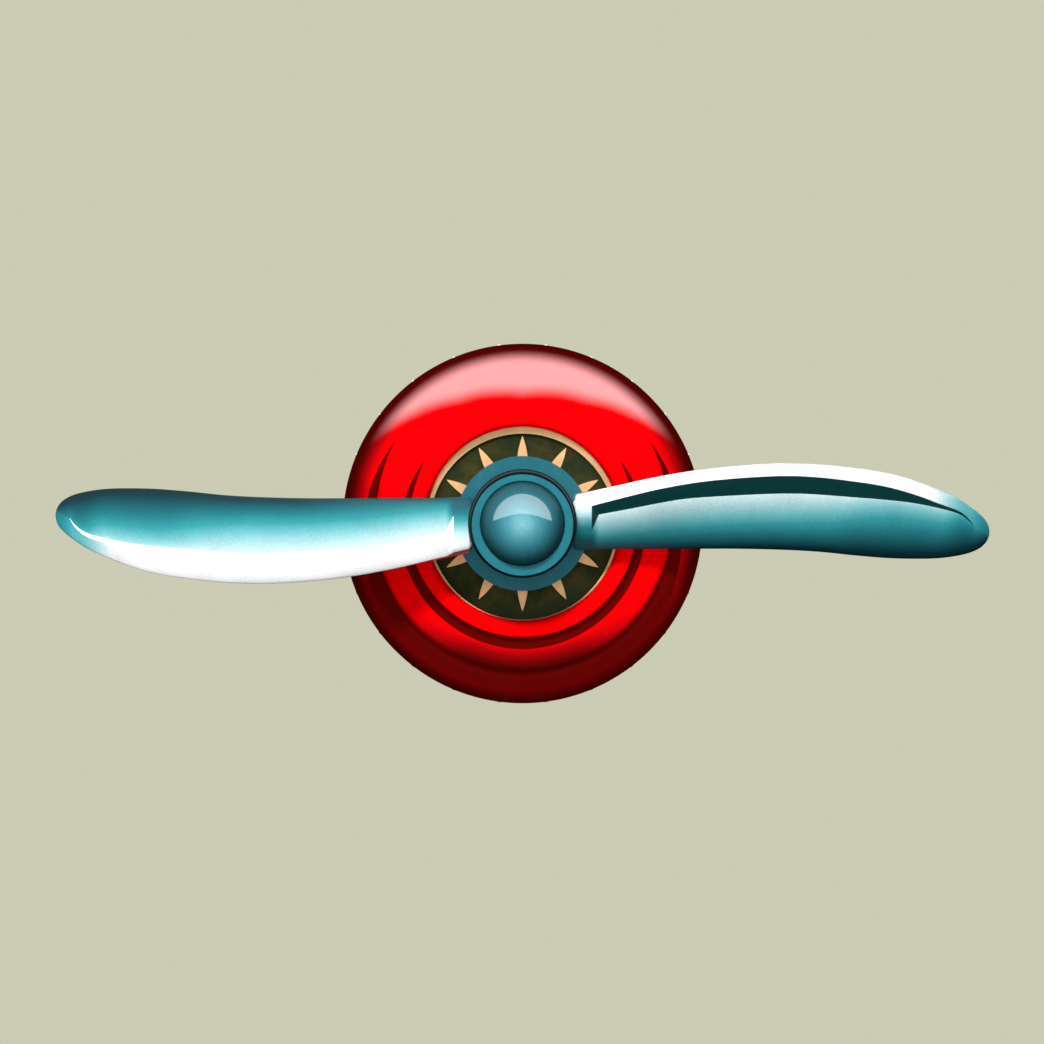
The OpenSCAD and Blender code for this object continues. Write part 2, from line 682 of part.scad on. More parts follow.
// Visible line of the nose ring, [radius, z], from the opening over three tiers to the seam
lip_r = opening_r;
tier_1 = [opening_r + 38, 297];
tier_2 = [opening_r + 49, 286];
tier_2_end = [opening_r + 111, 272];
tier_3 = [opening_r + 124, 259];

function quarter(from, to, bow, steps) = [for (i = [0:steps]) let (a = 90 * i / steps)
    bow == "out" ? [mix(from[0], to[0], sin(a)), mix(to[1], from[1], cos(a))]
                 : [mix(to[0], from[0], cos(a)), mix(from[1], to[1], sin(a))]];

function bowed(from, to, rise, steps) = [for (i = [1:steps]) let (t = i / steps)
    [mix(from[0], to[0], t), mix(from[1], to[1], t) + rise * 4 * t * (1 - t)]];

function cowl_line() = concat(
    [[lip_r, baffle_z], [lip_r, 284]],
    [for (i = [1:8]) let (a = 90 * i / 8) [lip_r + 17 * (1 - cos(a)), 284 + 18 * sin(a)]],
    bowed([lip_r + 17, lip_front_z], tier_1, 1.5, 4),
    [tier_2],
    bowed(tier_2, tier_2_end, 2.5, 6),
    [tier_3],
    [for (i = [1:18]) let (a = 90 * i / 18)
        [mix(tier_3[0], cowl_r, sin(a)), mix(cowl_seam_z + 14, tier_3[1], cos(a))]],
    [[cowl_r, cowl_seam_z]]);

// The same line moved inwards by the sheet's thickness, square to the line at each point
function unit(v) = v / norm(v);
function inset_line(line, t) = [for (i = [0:len(line) - 1])
    let (a = line[max(0, i - 1)], b = line[min(len(line) - 1, i + 1)], along = unit(b - a))
    line[i] + t * [along[1], -along[0]]];

// Rows of screws: the nose ring's, and the skirt's two
screw_count = 24;
screw_r = 2.5;
screw_rows = [cowl_seam_z + 5.5, cowl_seam_z - 4.5, cowl_rear_z + 10];
module at_screws(rows) for (z = rows)
    around(screw_count, cowl_r, 7.5) translate([0, 0, z]) rotate([0, 90, 0]) children();
module screw_holes(rows) at_screws(rows) translate([0, 0, -9]) cylinder(r = screw_r, h = 20);

module cowl_nose_ring() color(RED) difference() {
    line = cowl_line();
    inner = inset_line(line, sheet);
    rotate_extrude($fn = 180) polygon(concat(line, [for (i = [len(inner) - 1:-1:0]) inner[i]]));
    screw_holes([screw_rows[0]]);
}

module cowl_band(a0) color(RED) difference() {
    rotate([0, 0, a0]) intersection() {
        ring(cowl_r, cowl_r - sheet, cowl_rear_z, cowl_seam_z - 0.4);
        translate([-cowl_r - 1, 0.6, 0]) cube([cowl_d + 2, cowl_r + 1, cowl_seam_z]);
    }
    screw_holes([screw_rows[1], screw_rows[2]]);
}

// Two hoops of angle section: a web under the sheet and a flange that looks inwards
module former(z, rows) difference() {
    ring(cowl_r - sheet, cowl_r - sheet - former_t, z, z + former_w);
    ring(cowl_r - sheet - 2.5, cowl_r - sheet - former_t - 1, z + 2.5, z + former_w + 1);
    screw_holes(rows);
    if (z > cowl_rear_z + 20) at_pad_bolts() bar(pad_bolt_r, z - 1, z + 4);
}
module cowl_formers() color(ALUMINIUM) {
    former(cowl_seam_z - former_w / 2, [screw_rows[0], screw_rows[1]]);
    former(cowl_rear_z + 1, [screw_rows[2]]);
}

module cowl_screws() color(STEEL) at_screws(screw_rows) {
    cylinder(r1 = 4.5, r2 = 3.6, h = 0.9, $fn = 32);
    translate([0, 0, -8]) cylinder(r = screw_r, h = 8 + eps, $fn = 32);
}

// Six-armed spider: a collar on the case's neck, with arms out to the front hoop
spider_collar = 10;
arm_end_r = cowl_r - sheet - former_t - 2;
pad_z1 = cowl_seam_z - former_w / 2;
pad_t = 6;
pad_bolt_r = 2.4;
module at_arms() for (i = [0:spider_arms - 1]) rotate([0, 0, 30 + i * 360 / spider_arms]) children();
module at_pad_bolts() at_arms() for (y = [-9, 9]) translate([cowl_r - sheet - 6, y, 0]) children();

module support_spider() color(ALUMINIUM) difference() {
    union() {
        ring(case_neck_r + spider_collar, case_neck_r + run_gap, spider_z - 26, spider_z + 26);
        at_arms() {
            translate([case_neck_r + spider_collar - 2, -3, spider_z - 22])
                cube([arm_end_r - case_neck_r - spider_collar + 2, 6, 30]);
            translate([arm_end_r - 18, -16, pad_z1 - pad_t]) cube([27, 32, pad_t]);
        }
    }
    at_pad_bolts() bar(pad_bolt_r, pad_z1 - pad_t - 1, pad_z1 + 1);
    around(spider_arms, case_neck_r + spider_collar + 1) translate([0, 0, spider_z]) rotate([0, -90, 0])
        cylinder(r = 4, h = spider_collar + 4);
}

module spider_bolts() color(STEEL) {
    around(spider_arms, case_neck_r + spider_collar) translate([0, 0, spider_z]) rotate([0, 90, 0]) {
        translate([0, 0, -spider_collar + 0.1]) cylinder(r = 4, h = spider_collar);
        cylinder(r = 7.5, h = 5, $fn = 6);
    }
    at_pad_bolts() {
        bar(pad_bolt_r, pad_z1 - pad_t - 0.01, pad_z1 + 2.5);
        hex(4.6, pad_z1 - pad_t - 4, pad_z1 - pad_t);
    }
}

// ---------------------------------------------------------------- nodes

module blade_node(side, kind) on_blade(side) {
    if (kind == "core") blade_core();
    if (kind == "sheath") blade_sheath();
    if (kind == "cuff") blade_cuff();
    if (kind == "ferrule") blade_ferrule();
    if (kind == "race") blade_race();
    if (kind == "crank_pin") blade_crank_pin();
    if (kind == "balls") blade_balls();
}

in_row_frame() blade_node("a", "core");  // blade_a_core
in_row_frame() blade_node("a", "sheath");  // blade_a_sheath
in_row_frame() blade_node("a", "cuff");  // blade_a_cuff
in_row_frame() blade_node("a", "ferrule");  // blade_a_ferrule
in_row_frame() blade_node("a", "race");  // blade_a_race
in_row_frame() blade_node("a", "crank_pin");  // blade_a_crank_pin
in_row_frame() blade_node("a", "balls");  // blade_a_balls
in_row_frame() blade_node("b", "balls");  // blade_b_balls
in_row_frame() blade_node("b", "core");  // blade_b_core
in_row_frame() blade_node("b", "sheath");  // blade_b_sheath
in_row_frame() blade_node("b", "cuff");  // blade_b_cuff
in_row_frame() blade_node("b", "ferrule");  // blade_b_ferrule
in_row_frame() blade_node("b", "race");  // blade_b_race
in_row_frame() blade_node("b", "crank_pin");  // blade_b_crank_pin
in_row_frame() dome();
in_row_frame() dome_ring();
in_row_frame() dome_ring_screws();
in_row_frame() front_plate();
in_row_frame() front_plate_screws();
in_row_frame() piston();
in_row_frame() piston_seal();
in_row_frame() pitch_rod();
in_row_frame() pitch_fork();
in_row_frame() rod_nut();
in_row_frame() rod_bush();
in_row_frame() return_spring();
in_row_frame() hub_front_half();
in_row_frame() hub_rear_half();
in_row_frame() hub_clamp_bolts();
in_row_frame() hub_clamp_nuts();
in_row_frame() hub_studs();
in_row_frame() hub_stud_nuts();
in_row_frame() hub_backplate();
in_row_frame() blade_outer_races();
in_row_frame() blade_bushes();
in_row_frame() propeller_shaft();
in_row_frame() shaft_lock_nut();
in_row_frame() inner_race(front_bearing_z);  // thrust_inner_race
in_row_frame() outer_race(front_bearing_z);  // thrust_outer_race
in_row_frame() thrust_balls();
in_row_frame() cage(front_bearing_z, ball_r + 0.2);  // thrust_cage
in_row_frame() rear_race(journal_r + 9, journal_r);  // rear_inner_race
in_row_frame() rear_race(bearing_r, bearing_r - 9);  // rear_outer_race
in_row_frame() rear_rollers();
in_row_frame() rear_cage();
in_row_frame() bearing_cap();
in_row_frame() cap_bolts();
in_row_frame() oil_seal();
in_row_frame() nose_case();
in_row_frame() baffle_plate();
in_row_frame() baffle_rays();
in_row_frame() ray_rivets();
in_row_frame() trim_ring();
in_row_frame() cowl_nose_ring();
in_row_frame() cowl_band(0);  // cowl_skirt_top
in_row_frame() cowl_band(180);  // cowl_skirt_bottom
in_row_frame() cowl_formers();
in_row_frame() cowl_screws();
in_row_frame() support_spider();
in_row_frame() spider_bolts();
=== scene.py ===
import json
import math

import bpy
import numpy as np
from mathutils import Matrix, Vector


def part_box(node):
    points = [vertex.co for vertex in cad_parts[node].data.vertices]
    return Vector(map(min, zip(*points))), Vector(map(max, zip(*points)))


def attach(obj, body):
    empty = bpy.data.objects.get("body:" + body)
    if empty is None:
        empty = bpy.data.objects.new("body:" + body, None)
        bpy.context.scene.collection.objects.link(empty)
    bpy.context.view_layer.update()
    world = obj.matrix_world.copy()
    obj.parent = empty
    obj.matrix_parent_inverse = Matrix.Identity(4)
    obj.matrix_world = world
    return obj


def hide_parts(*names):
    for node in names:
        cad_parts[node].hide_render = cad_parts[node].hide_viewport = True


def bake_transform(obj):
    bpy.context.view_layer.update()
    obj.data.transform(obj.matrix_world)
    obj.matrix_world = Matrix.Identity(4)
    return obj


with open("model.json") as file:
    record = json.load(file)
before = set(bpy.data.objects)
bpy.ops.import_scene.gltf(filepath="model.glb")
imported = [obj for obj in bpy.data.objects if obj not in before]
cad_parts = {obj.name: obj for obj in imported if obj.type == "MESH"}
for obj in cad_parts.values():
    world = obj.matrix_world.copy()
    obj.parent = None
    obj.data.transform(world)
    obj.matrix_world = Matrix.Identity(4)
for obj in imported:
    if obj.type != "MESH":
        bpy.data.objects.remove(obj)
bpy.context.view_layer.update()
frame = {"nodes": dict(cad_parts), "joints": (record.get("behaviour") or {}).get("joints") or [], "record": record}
nodes = frame["nodes"]


# Everything is in metres in the row frame: +Z up, the propeller faces -Y. "Forward" is -Y.
AXIS_Y = -0.370            # the blades' own axis, from the frame's pitch joints
for joint in frame["joints"]:
    if joint["name"] == "blade_a_pitch":
        AXIS_Y = joint["pos_m"][1]
TIP_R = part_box("blade_a_core")[1].x
PHOTO_SPAN = 2.3464        # width of the picture's frame at the blades, in metres

# ------------------------------------------------------------------ materials


def srgb(r, g, b):
    """Linear RGBA from 8-bit sRGB."""
    out = []
    for c in (r, g, b):
        c = c / 255.0
        out.append(c / 12.92 if c <= 0.04045 else ((c + 0.055) / 1.055) ** 2.4)
    return (*out, 1.0)


class Mat:
    """A Principled material with small helpers for its node tree."""

    def __init__(self, name, roughness=0.5, metallic=0.0, coat=0.0, coat_rough=0.05, coat_ior=1.5,
                 specular=0.5):
        self.m = bpy.data.materials.new(name)
        self.m.use_nodes = True
        self.t = self.m.node_tree
        self.t.nodes.clear()
        out = self.t.nodes.new("ShaderNodeOutputMaterial")
        self.p = self.t.nodes.new("ShaderNodeBsdfPrincipled")
        self.t.links.new(self.p.outputs[0], out.inputs["Surface"])
        for key, value in (("Roughness", roughness), ("Metallic", metallic), ("Coat Weight", coat),
                           ("Coat Roughness", coat_rough), ("Coat IOR", coat_ior), ("IOR", 1.5),
                           ("Specular IOR Level", specular)):
            self.p.inputs[key].default_value = value

    def node(self, kind, **props):
        n = self.t.nodes.new(kind)
        for k, v in props.items():
            setattr(n, k, v)
        return n

    def link(self, a, b):
        self.t.links.new(a, b)

    def coords(self, scale=(1, 1, 1), shift=(0, 0, 0)):
        tc = self.node("ShaderNodeTexCoord")
        mp = self.node("ShaderNodeMapping")
        mp.inputs["Scale"].default_value = scale
        mp.inputs["Location"].default_value = shift
        self.link(tc.outputs["Object"], mp.inputs["Vector"])
        return mp.outputs["Vector"]

    def noise(self, scale, detail=3.0, rough=0.55, stretch=(1, 1, 1)):
        n = self.node("ShaderNodeTexNoise")
        n.inputs["Scale"].default_value = scale
        n.inputs["Detail"].default_value = detail
        n.inputs["Roughness"].default_value = rough
        self.link(self.coords(stretch), n.inputs["Vector"])
        return n.outputs["Fac"]

    def attribute(self, name):
        n = self.node("ShaderNodeAttribute", attribute_name=name)
        return n.outputs["Fac"]

    def ramp(self, fac, stops):
        n = self.node("ShaderNodeValToRGB")
        e = n.color_ramp.elements
        e[0].position, e[0].color = stops[0]
        e[1].position, e[1].color = stops[-1]
        for pos, col in stops[1:-1]:
            e.new(pos).color = col
        self.link(fac, n.inputs["Fac"])
        return n.outputs["Color"]

    def span(self, fac, lo, hi, out_lo=0.0, out_hi=1.0):
        """Maps lo..hi to out_lo..out_hi, and holds it there beyond the ends."""
        n = self.node("ShaderNodeMapRange")
        for k, v in (("From Min", lo), ("From Max", hi), ("To Min", out_lo), ("To Max", out_hi)):
            n.inputs[k].default_value = v
        self.link(fac, n.inputs["Value"])
        return n.outputs["Result"]

    def math(self, op, a, b=None):
        n = self.node("ShaderNodeMath", operation=op)
        for i, v in enumerate((a, b)):
            if v is None:
                continue
            if isinstance(v, (int, float)):
                n.inputs[i].default_value = v
            else:
                self.link(v, n.inputs[i])
        return n.outputs[0]

    def mix(self, fac, a, b):
        n = self.node("ShaderNodeMix", data_type="RGBA")
        self.link(fac, n.inputs[0])
        for i, v in ((6, a), (7, b)):
            if isinstance(v, tuple):
                n.inputs[i].default_value = v
            else:
                self.link(v, n.inputs[i])
        return n.outputs[2]

    def bump(self, height, strength, distance):
        n = self.node("ShaderNodeBump")
        n.inputs["Strength"].default_value = strength
        n.inputs["Distance"].default_value = distance
        self.link(height, n.inputs["Height"])
        self.link(n.outputs["Normal"], self.p.inputs["Normal"])

    def depth(self):
        """Distance along the shaft."""
        tc = self.node("ShaderNodeTexCoord")
        sep = self.node("ShaderNodeSeparateXYZ")
        self.link(tc.outputs["Object"], sep.inputs[0])
        return sep.outputs[1]

    def radius(self, raise_by=0.0):
        """Distance from the shaft axis, or from a line parallel to it and raise_by below it."""
        ln = self.node("ShaderNodeVectorMath", operation="LENGTH")
        self.link(self.coords((1, 0, 1), (0, 0, raise_by)), ln.inputs[0])
        return ln.outputs["Value"]

    def base(self, color):
        self.link(color, self.p.inputs["Base Color"])

    def speckle(self, color, amount):
        """The fine even grain that every finish of the object has, with faint larger patches."""
        fine = self.noise(330.0, 2.0, 0.7)
        broad = self.noise(14.0, 4.0, 0.6)
        both = self.math("ADD", self.math("MULTIPLY", fine, 0.65),
                         self.math("MULTIPLY", broad, 0.35))
        shade = self.span(both, 0.32, 0.68, 1.0 - 1.3 * amount, 1.0 + 1.3 * amount)
        n = self.node("ShaderNodeVectorMath", operation="SCALE")
        self.link(color, n.inputs[0])
        self.link(shade, n.inputs["Scale"])
        return n.outputs[0]


def flat_ramp(mat, color, spread=0.12, scale=40.0):
    """A colour that drifts a little lighter and darker."""
    dark = tuple(c * (1 - spread) for c in color[:3]) + (1,)
    light = tuple(min(1.0, c * (1 + spread)) for c in color[:3]) + (1,)
    return mat.ramp(mat.noise(scale, 4.0), [(0.3, dark), (0.7, light)])


def enamel(name, color, rough=0.35, coat=0.6, coat_rough=0.03, coat_ior=1.6, spread=0.08,
           grain=0.10):
    m = Mat(name, roughness=rough, coat=coat, coat_rough=coat_rough, coat_ior=coat_ior,
            specular=0.3)
    m.base(m.speckle(flat_ramp(m, color, spread), grain))
    m.bump(m.noise(260.0, 2.0), 0.04, 0.0004)
    return m


def machined(name, color, rough=0.32):
    """Turned or milled metal with fine tool marks."""
    m = Mat(name, roughness=rough, metallic=1.0)
    m.base(m.speckle(flat_ramp(m, color, 0.10, 30.0), 0.05))
    marks = m.noise(420.0, 2.0, 0.6, stretch=(1, 8, 1))
    wear = m.span(m.noise(60.0, 4.0), 0.3, 0.7, rough - 0.06, rough + 0.10)
    m.link(wear, m.p.inputs["Roughness"])
    m.bump(marks, 0.06, 0.0003)
    return m


def cast(name, color, rough=0.5):
    """Sand-cast metal: rough, with broad patches."""
    m = Mat(name, roughness=rough, metallic=0.9)
    m.base(m.speckle(flat_ramp(m, color, 0.14, 22.0), 0.08))
    wear = m.span(m.noise(90.0, 4.0), 0.3, 0.7, rough - 0.08, rough + 0.12)
    m.link(wear, m.p.inputs["Roughness"])
    m.bump(m.noise(650.0, 3.0, 0.7), 0.35, 0.0006)
    return m


# Cowl: red under a clear coat. Three attributes of the mesh steer it: "band" marks the dark crescents, painted
# shade along the steps, "shade" the painted shade towards the rim and over the lower half, "gloss" the polished
# crown.
red = Mat("red_gloss", roughness=0.5, coat=1.0, coat_rough=0.16, coat_ior=2.05, specular=0.0)
red.link(red.span(red.attribute("gloss"), 0.0, 1.0, 0.0, 0.80), red.p.inputs["Coat Weight"])
tone = red.ramp(red.attribute("shade"), [
    (0.0, srgb(255, 2, 8)), (0.4, srgb(186, 4, 12)), (0.8, srgb(100, 6, 5)), (1.0, srgb(58, 6, 2))])
tone = red.mix(red.attribute("band"), tone, srgb(100, 6, 4))
red.base(red.speckle(tone, 0.05))
red.bump(red.noise(900.0, 2.0, 0.6), 0.03, 0.0003)

red_skirt = Mat("red_gloss_skirt", roughness=0.5, coat=0.35, coat_rough=0.10, coat_ior=1.45,
                specular=0.05)
red_skirt.base(red_skirt.speckle(flat_ramp(red_skirt, srgb(206, 3, 9), 0.06, 9.0), 0.05))
red_skirt.bump(red_skirt.noise(900.0, 2.0, 0.6), 0.03, 0.0003)

primer = enamel("grey_primer", srgb(150, 154, 148), rough=0.55, coat=0.0)

bronze = Mat("bronze_lacquer", roughness=0.45, metallic=0.05, coat=0.2, coat_rough=0.15,
             specular=0.3)
bronze.base(bronze.speckle(flat_ramp(bronze, srgb(254, 200, 144), 0.07, 60.0), 0.09))
bronze.bump(bronze.noise(700.0, 2.0), 0.08, 0.0004)

olive = Mat("olive_satin", roughness=0.6, specular=0.25)
streak = olive.noise(26.0, 5.0, 0.6)
# painted shade: lightest just outside the backplate, darker towards the cowl's lip and under the backplate
tone = olive.ramp(olive.radius(), [
    (0.0, srgb(34, 36, 14)), (0.148, srgb(66, 62, 28)), (0.18, srgb(62, 58, 26)),
    (0.212, srgb(34, 38, 14)), (1.0, srgb(24, 28, 10))])
tone = olive.mix(olive.span(streak, 0.35, 0.65), tone, srgb(28, 40, 16))
olive.base(olive.speckle(tone, 0.12))
olive.bump(olive.noise(500.0, 3.0), 0.12, 0.0005)

# Dome: polished on top only, and darker towards its foot: painted shade
teal_dome = Mat("teal_dome_gloss", roughness=0.45, coat=1.0, coat_rough=0.012, coat_ior=1.6,
                specular=0.05)
polish = teal_dome.span(teal_dome.radius(), 0.0655, 0.0668, 1.0, 0.0)
teal_dome.link(polish, teal_dome.p.inputs["Coat Weight"])
tone = teal_dome.ramp(teal_dome.radius(), [
    (0.0, srgb(132, 193, 201)), (0.016, srgb(115, 181, 190)), (0.034, srgb(82, 152, 165)),
    (0.056, srgb(54, 124, 138)), (0.076, srgb(36, 92, 102)), (0.091, srgb(18, 58, 64)),
    (1.0, srgb(16, 50, 56))])
teal_dome.base(teal_dome.speckle(tone, 0.12))
teal_dome.bump(teal_dome.noise(800.0, 2.0), 0.02, 0.0003)

# Ring: a painted shadow blackens its outer corner, a little deeper at the top than at the bottom
teal_ring = Mat("teal_ring_enamel", roughness=0.45, coat=0.06, coat_rough=0.2, specular=0.1)
painted_shadow_corner = teal_ring.span(teal_ring.radius(raise_by=0.0036), 0.1130, 0.1140)
tone = teal_ring.mix(painted_shadow_corner, flat_ramp(teal_ring, srgb(42, 117, 129), 0.08), srgb(4, 16, 20))
teal_ring.base(teal_ring.speckle(tone, 0.13))
teal_ring.bump(teal_ring.noise(260.0, 2.0), 0.04, 0.0004)
teal_plate = enamel("teal_plate_enamel", srgb(43, 114, 127), coat=0.2, coat_ior=1.5,
                    coat_rough=0.15, grain=0.13)
teal_hub = enamel("teal_hub_enamel", srgb(38, 108, 120), rough=0.4, coat=0.3, coat_rough=0.15)
black = enamel("black_enamel", srgb(10, 26, 28), rough=0.45, coat=0.2, coat_rough=0.2)
steel = machined("machined_steel", (0.52, 0.54, 0.56, 1))
bolt_steel = machined("plated_bolts", (0.46, 0.47, 0.48, 1), rough=0.28)
aluminium = cast("cast_aluminium", (0.62, 0.63, 0.64, 1))
sheet_alu = machined("sheet_aluminium", (0.68, 0.69, 0.70, 1), rough=0.38)
bearing_brass = machined("bearing_brass", (0.72, 0.48, 0.22, 1), rough=0.3)
rubber = Mat("seal_rubber", roughness=0.75)
rubber.base(rubber.speckle(flat_ramp(rubber, (0.02, 0.02, 0.02, 1)), 0.1))
rubber.bump(rubber.noise(500.0, 3.0), 0.3, 0.0004)

# Blade lacquer: the fade from the leading edge (tone 0) to the trailing edge (tone 1) is painted light, a white
# painted highlight at the leading edge and painted shade down to near black at the trailing edge
BLADE_STOPS = [
    (0.00, srgb(255, 255, 255)), (0.20, srgb(250, 253, 253)), (0.28, srgb(214, 238, 240)),
    (0.38, srgb(172, 213, 217)), (0.50, srgb(112, 189, 195)), (0.62, srgb(58, 154, 161)),
    (0.74, srgb(36, 120, 128)), (0.85, srgb(24, 84, 94)), (0.94, srgb(10, 46, 52)),
    (1.00, srgb(3, 28, 32))]
blade_paint = Mat("blade_lacquer", roughness=0.5, coat=0.05, coat_rough=0.2, coat_ior=1.4,
                  specular=0.06)
tone = blade_paint.ramp(blade_paint.attribute("tone"), BLADE_STOPS)
blade_paint.base(blade_paint.speckle(tone, 0.13))
blade_paint.bump(blade_paint.noise(240.0, 3.0, 0.6, stretch=(0.15, 1, 1)), 0.06, 0.0005)

blade_edge = Mat("sheath_bevel_metal", roughness=0.30, metallic=1.0)
blade_edge.base(blade_edge.speckle(flat_ramp(blade_edge, (0.72, 0.90, 0.92, 1), 0.05, 60.0), 0.05))
blade_edge.bump(blade_edge.noise(500.0, 2.0, 0.6, stretch=(0.1, 1, 1)), 0.05, 0.0003)

# Varnished laminations: sheets square to the shaft, so the twisted face cuts them in long curves
wood = Mat("laminated_walnut", roughness=0.38, coat=0.6, coat_rough=0.08, specular=0.4)
PLY_THICKNESS = 0.011
warp = wood.math("MULTIPLY", wood.noise(2.2, 2.0, 0.5), 0.004)
layer = wood.math("DIVIDE", wood.math("ADD", wood.depth(), warp), PLY_THICKNESS)
index = wood.math("FLOOR", layer)
white = wood.node("ShaderNodeTexWhiteNoise", noise_dimensions="1D")
wood.link(index, white.inputs["W"])
ply = wood.ramp(white.outputs["Value"], [
    (0.0, (0.115, 0.042, 0.016, 1)), (0.5, (0.205, 0.088, 0.034, 1)),
    (1.0, (0.330, 0.160, 0.066, 1))])
grain = wood.noise(130.0, 6.0, 0.62, stretch=(0.035, 1, 1))
ply = wood.mix(wood.span(grain, 0.35, 0.70), ply, (0.06, 0.022, 0.009, 1))
glue = wood.math("ABSOLUTE", wood.math("SUBTRACT", wood.math("FRACT", layer), 0.5))
ply = wood.mix(wood.span(glue, 0.470, 0.497), ply, (0.03, 0.012, 0.006, 1))
wood.base(ply)
wood.bump(grain, 0.10, 0.0004)

SLOT_MATERIAL = {
    "steel": steel, "bronze": bronze, "aluminium": aluminium, "rubber": rubber,
    "teal_hub": teal_hub, "teal_ring": teal_ring, "teal_dome": teal_dome, "black_steel": black,
    "olive_paint": olive, "red_paint": red_skirt, "blade_wood": wood, "blade_sheath": blade_paint}
NODE_MATERIAL = {
    "hub_backplate": teal_plate, "cowl_formers": sheet_alu, "support_spider": sheet_alu,
    "thrust_cage": bearing_brass, "rear_cage": bearing_brass, "rod_bush": bearing_brass,
    "blade_bushes": bearing_brass, "hub_clamp_bolts": bolt_steel, "hub_clamp_nuts": bolt_steel,
    "hub_stud_nuts": bolt_steel, "cap_bolts": bolt_steel, "spider_bolts": bolt_steel,
    "cowl_screws": bolt_steel, "front_plate_screws": bolt_steel, "dome_ring_screws": bolt_steel}
slots = {s["node"]: s["material_slot"] for s in frame["record"]["subparts"]}
for name, obj in nodes.items():
    chosen = NODE_MATERIAL.get(name) or SLOT_MATERIAL[slots[name]]
    obj.data.materials.clear()
    obj.data.materials.append(chosen.m)
    for poly in obj.data.polygons:
        poly.material_index = 0

# ------------------------------------------------------------------ mesh helpers


def new_mesh(name, verts, faces, mats, face_mat=None):
    me = bpy.data.meshes.new(name)
    me.from_pydata([tuple(map(float, v)) for v in verts], [], faces)
    for m in mats:
        me.materials.append(m.m)
    if face_mat is not None:
        me.polygons.foreach_set("material_index", np.asarray(face_mat, dtype=np.int32))
    me.polygons.foreach_set("use_smooth", [True] * len(me.polygons))
    me.validate()
    me.update()
    obj = bpy.data.objects.new(name, me)
    bpy.context.scene.collection.objects.link(obj)
    return obj


def set_float(obj, name, values):
    a = obj.data.attributes.new(name, "FLOAT", "POINT")
    a.data.foreach_set("value", np.asarray(values, dtype=np.float32))


def mark_sharp(obj, angle_deg):
    """Creases every edge whose faces meet at more than the angle."""
    me = obj.data
    normals = np.zeros(len(me.polygons) * 3, np.float32)
    me.polygons.foreach_get("normal", normals)
    normals = normals.reshape(-1, 3)
    owner = {}
    for p in me.polygons:
        for key in p.edge_keys:
            owner.setdefault(key, []).append(p.index)
    limit = math.cos(math.radians(angle_deg))
    sharp = [False] * len(me.edges)
    for e in me.edges:
        pair = owner.get(tuple(sorted(e.vertices)), [])
        if len(pair) == 2 and float(normals[pair[0]] @ normals[pair[1]]) < limit:
            sharp[e.index] = True
    attr = me.attributes.get("sharp_edge") or me.attributes.new("sharp_edge", "BOOLEAN", "EDGE")
    attr.data.foreach_set("value", sharp)


def lathe(name, loop, mats, turns=256, face_mats=None, crease=40, warp=None):
    """A closed profile of (radius, forward) points turned about the shaft. warp(phi) may give the
    profile for each angle; phi is counted from straight up, clockwise in the front view."""
    n = len(loop)
    verts, faces, fm = [], [], []
    for i in range(turns):
        phi = 2 * math.pi * i / turns
        pts = warp(phi) if warp else loop
        for r, h in pts:
            verts.append((r * math.sin(phi), -h, r * math.cos(phi)))
    for i in range(turns):
        j = (i + 1) % turns
        for k in range(n):
            l = (k + 1) % n
            faces.append((i * n + k, i * n + l, j * n + l, j * n + k))
            fm.append(face_mats[k] if face_mats else 0)
    obj = new_mesh(name, verts, faces, mats, face_mat=fm)
    mark_sharp(obj, crease)
    return obj


def rounded(points, radius, steps=4):
    """The closed polygon with each corner replaced by an arc of about the radius."""
    out = []
    n = len(points)
    for i in range(n):
        a, b, c = (np.array(points[k % n], float) for k in (i - 1, i, i + 1))
        da, dc = a - b, c - b
        la, lc = np.linalg.norm(da), np.linalg.norm(dc)
        t = min(radius, 0.45 * la, 0.45 * lc)
        p0, p1 = b + da / la * t, b + dc / lc * t
        for s in range(steps + 1):
            u = s / steps
            out.append(tuple((1 - u) ** 2 * p0 + 2 * u * (1 - u) * b + u * u * p1))
    return out


def clamp01(t):
    return min(1.0, max(0.0, t))


def smooth01(t):
    t = clamp01(t)
    return t * t * (3 - 2 * t)


def smooth_array(t):
    """smooth01 for a whole array."""
    t = np.clip(t, 0, 1)
    return t * t * (3 - 2 * t)


def mixf(a, b, t):
    return a + (b - a) * t


# ------------------------------------------------------------------ blades

# (station, leading edge, trailing edge, thickness), as shares of the tip radius: the CAD's drawing,
# with about a millimetre more at the leading edge for the sheath
BLADE = [
    (0.116, 0.0594, 0.0527, 0.0800), (0.200, 0.0796, 0.0527, 0.0540),
    (0.280, 0.0980, 0.0536, 0.0410), (0.370, 0.1140, 0.0538, 0.0330),
    (0.460, 0.1240, 0.0540, 0.0275), (0.550, 0.1290, 0.0561, 0.0235),
    (0.630, 0.1269, 0.0602, 0.0205), (0.710, 0.1191, 0.0682, 0.0175),
    (0.780, 0.1082, 0.0740, 0.0150), (0.840, 0.0916, 0.0756, 0.0130),
    (0.890, 0.0724, 0.0745, 0.0115), (0.930, 0.0546, 0.0694, 0.0100),
    (0.960, 0.0353, 0.0620, 0.0085), (0.981, 0.0184, 0.0518, 0.0070),
    (0.992, 0.0066, 0.0410, 0.0055), (1.000, -0.0185, 0.0185, 0.0030)]
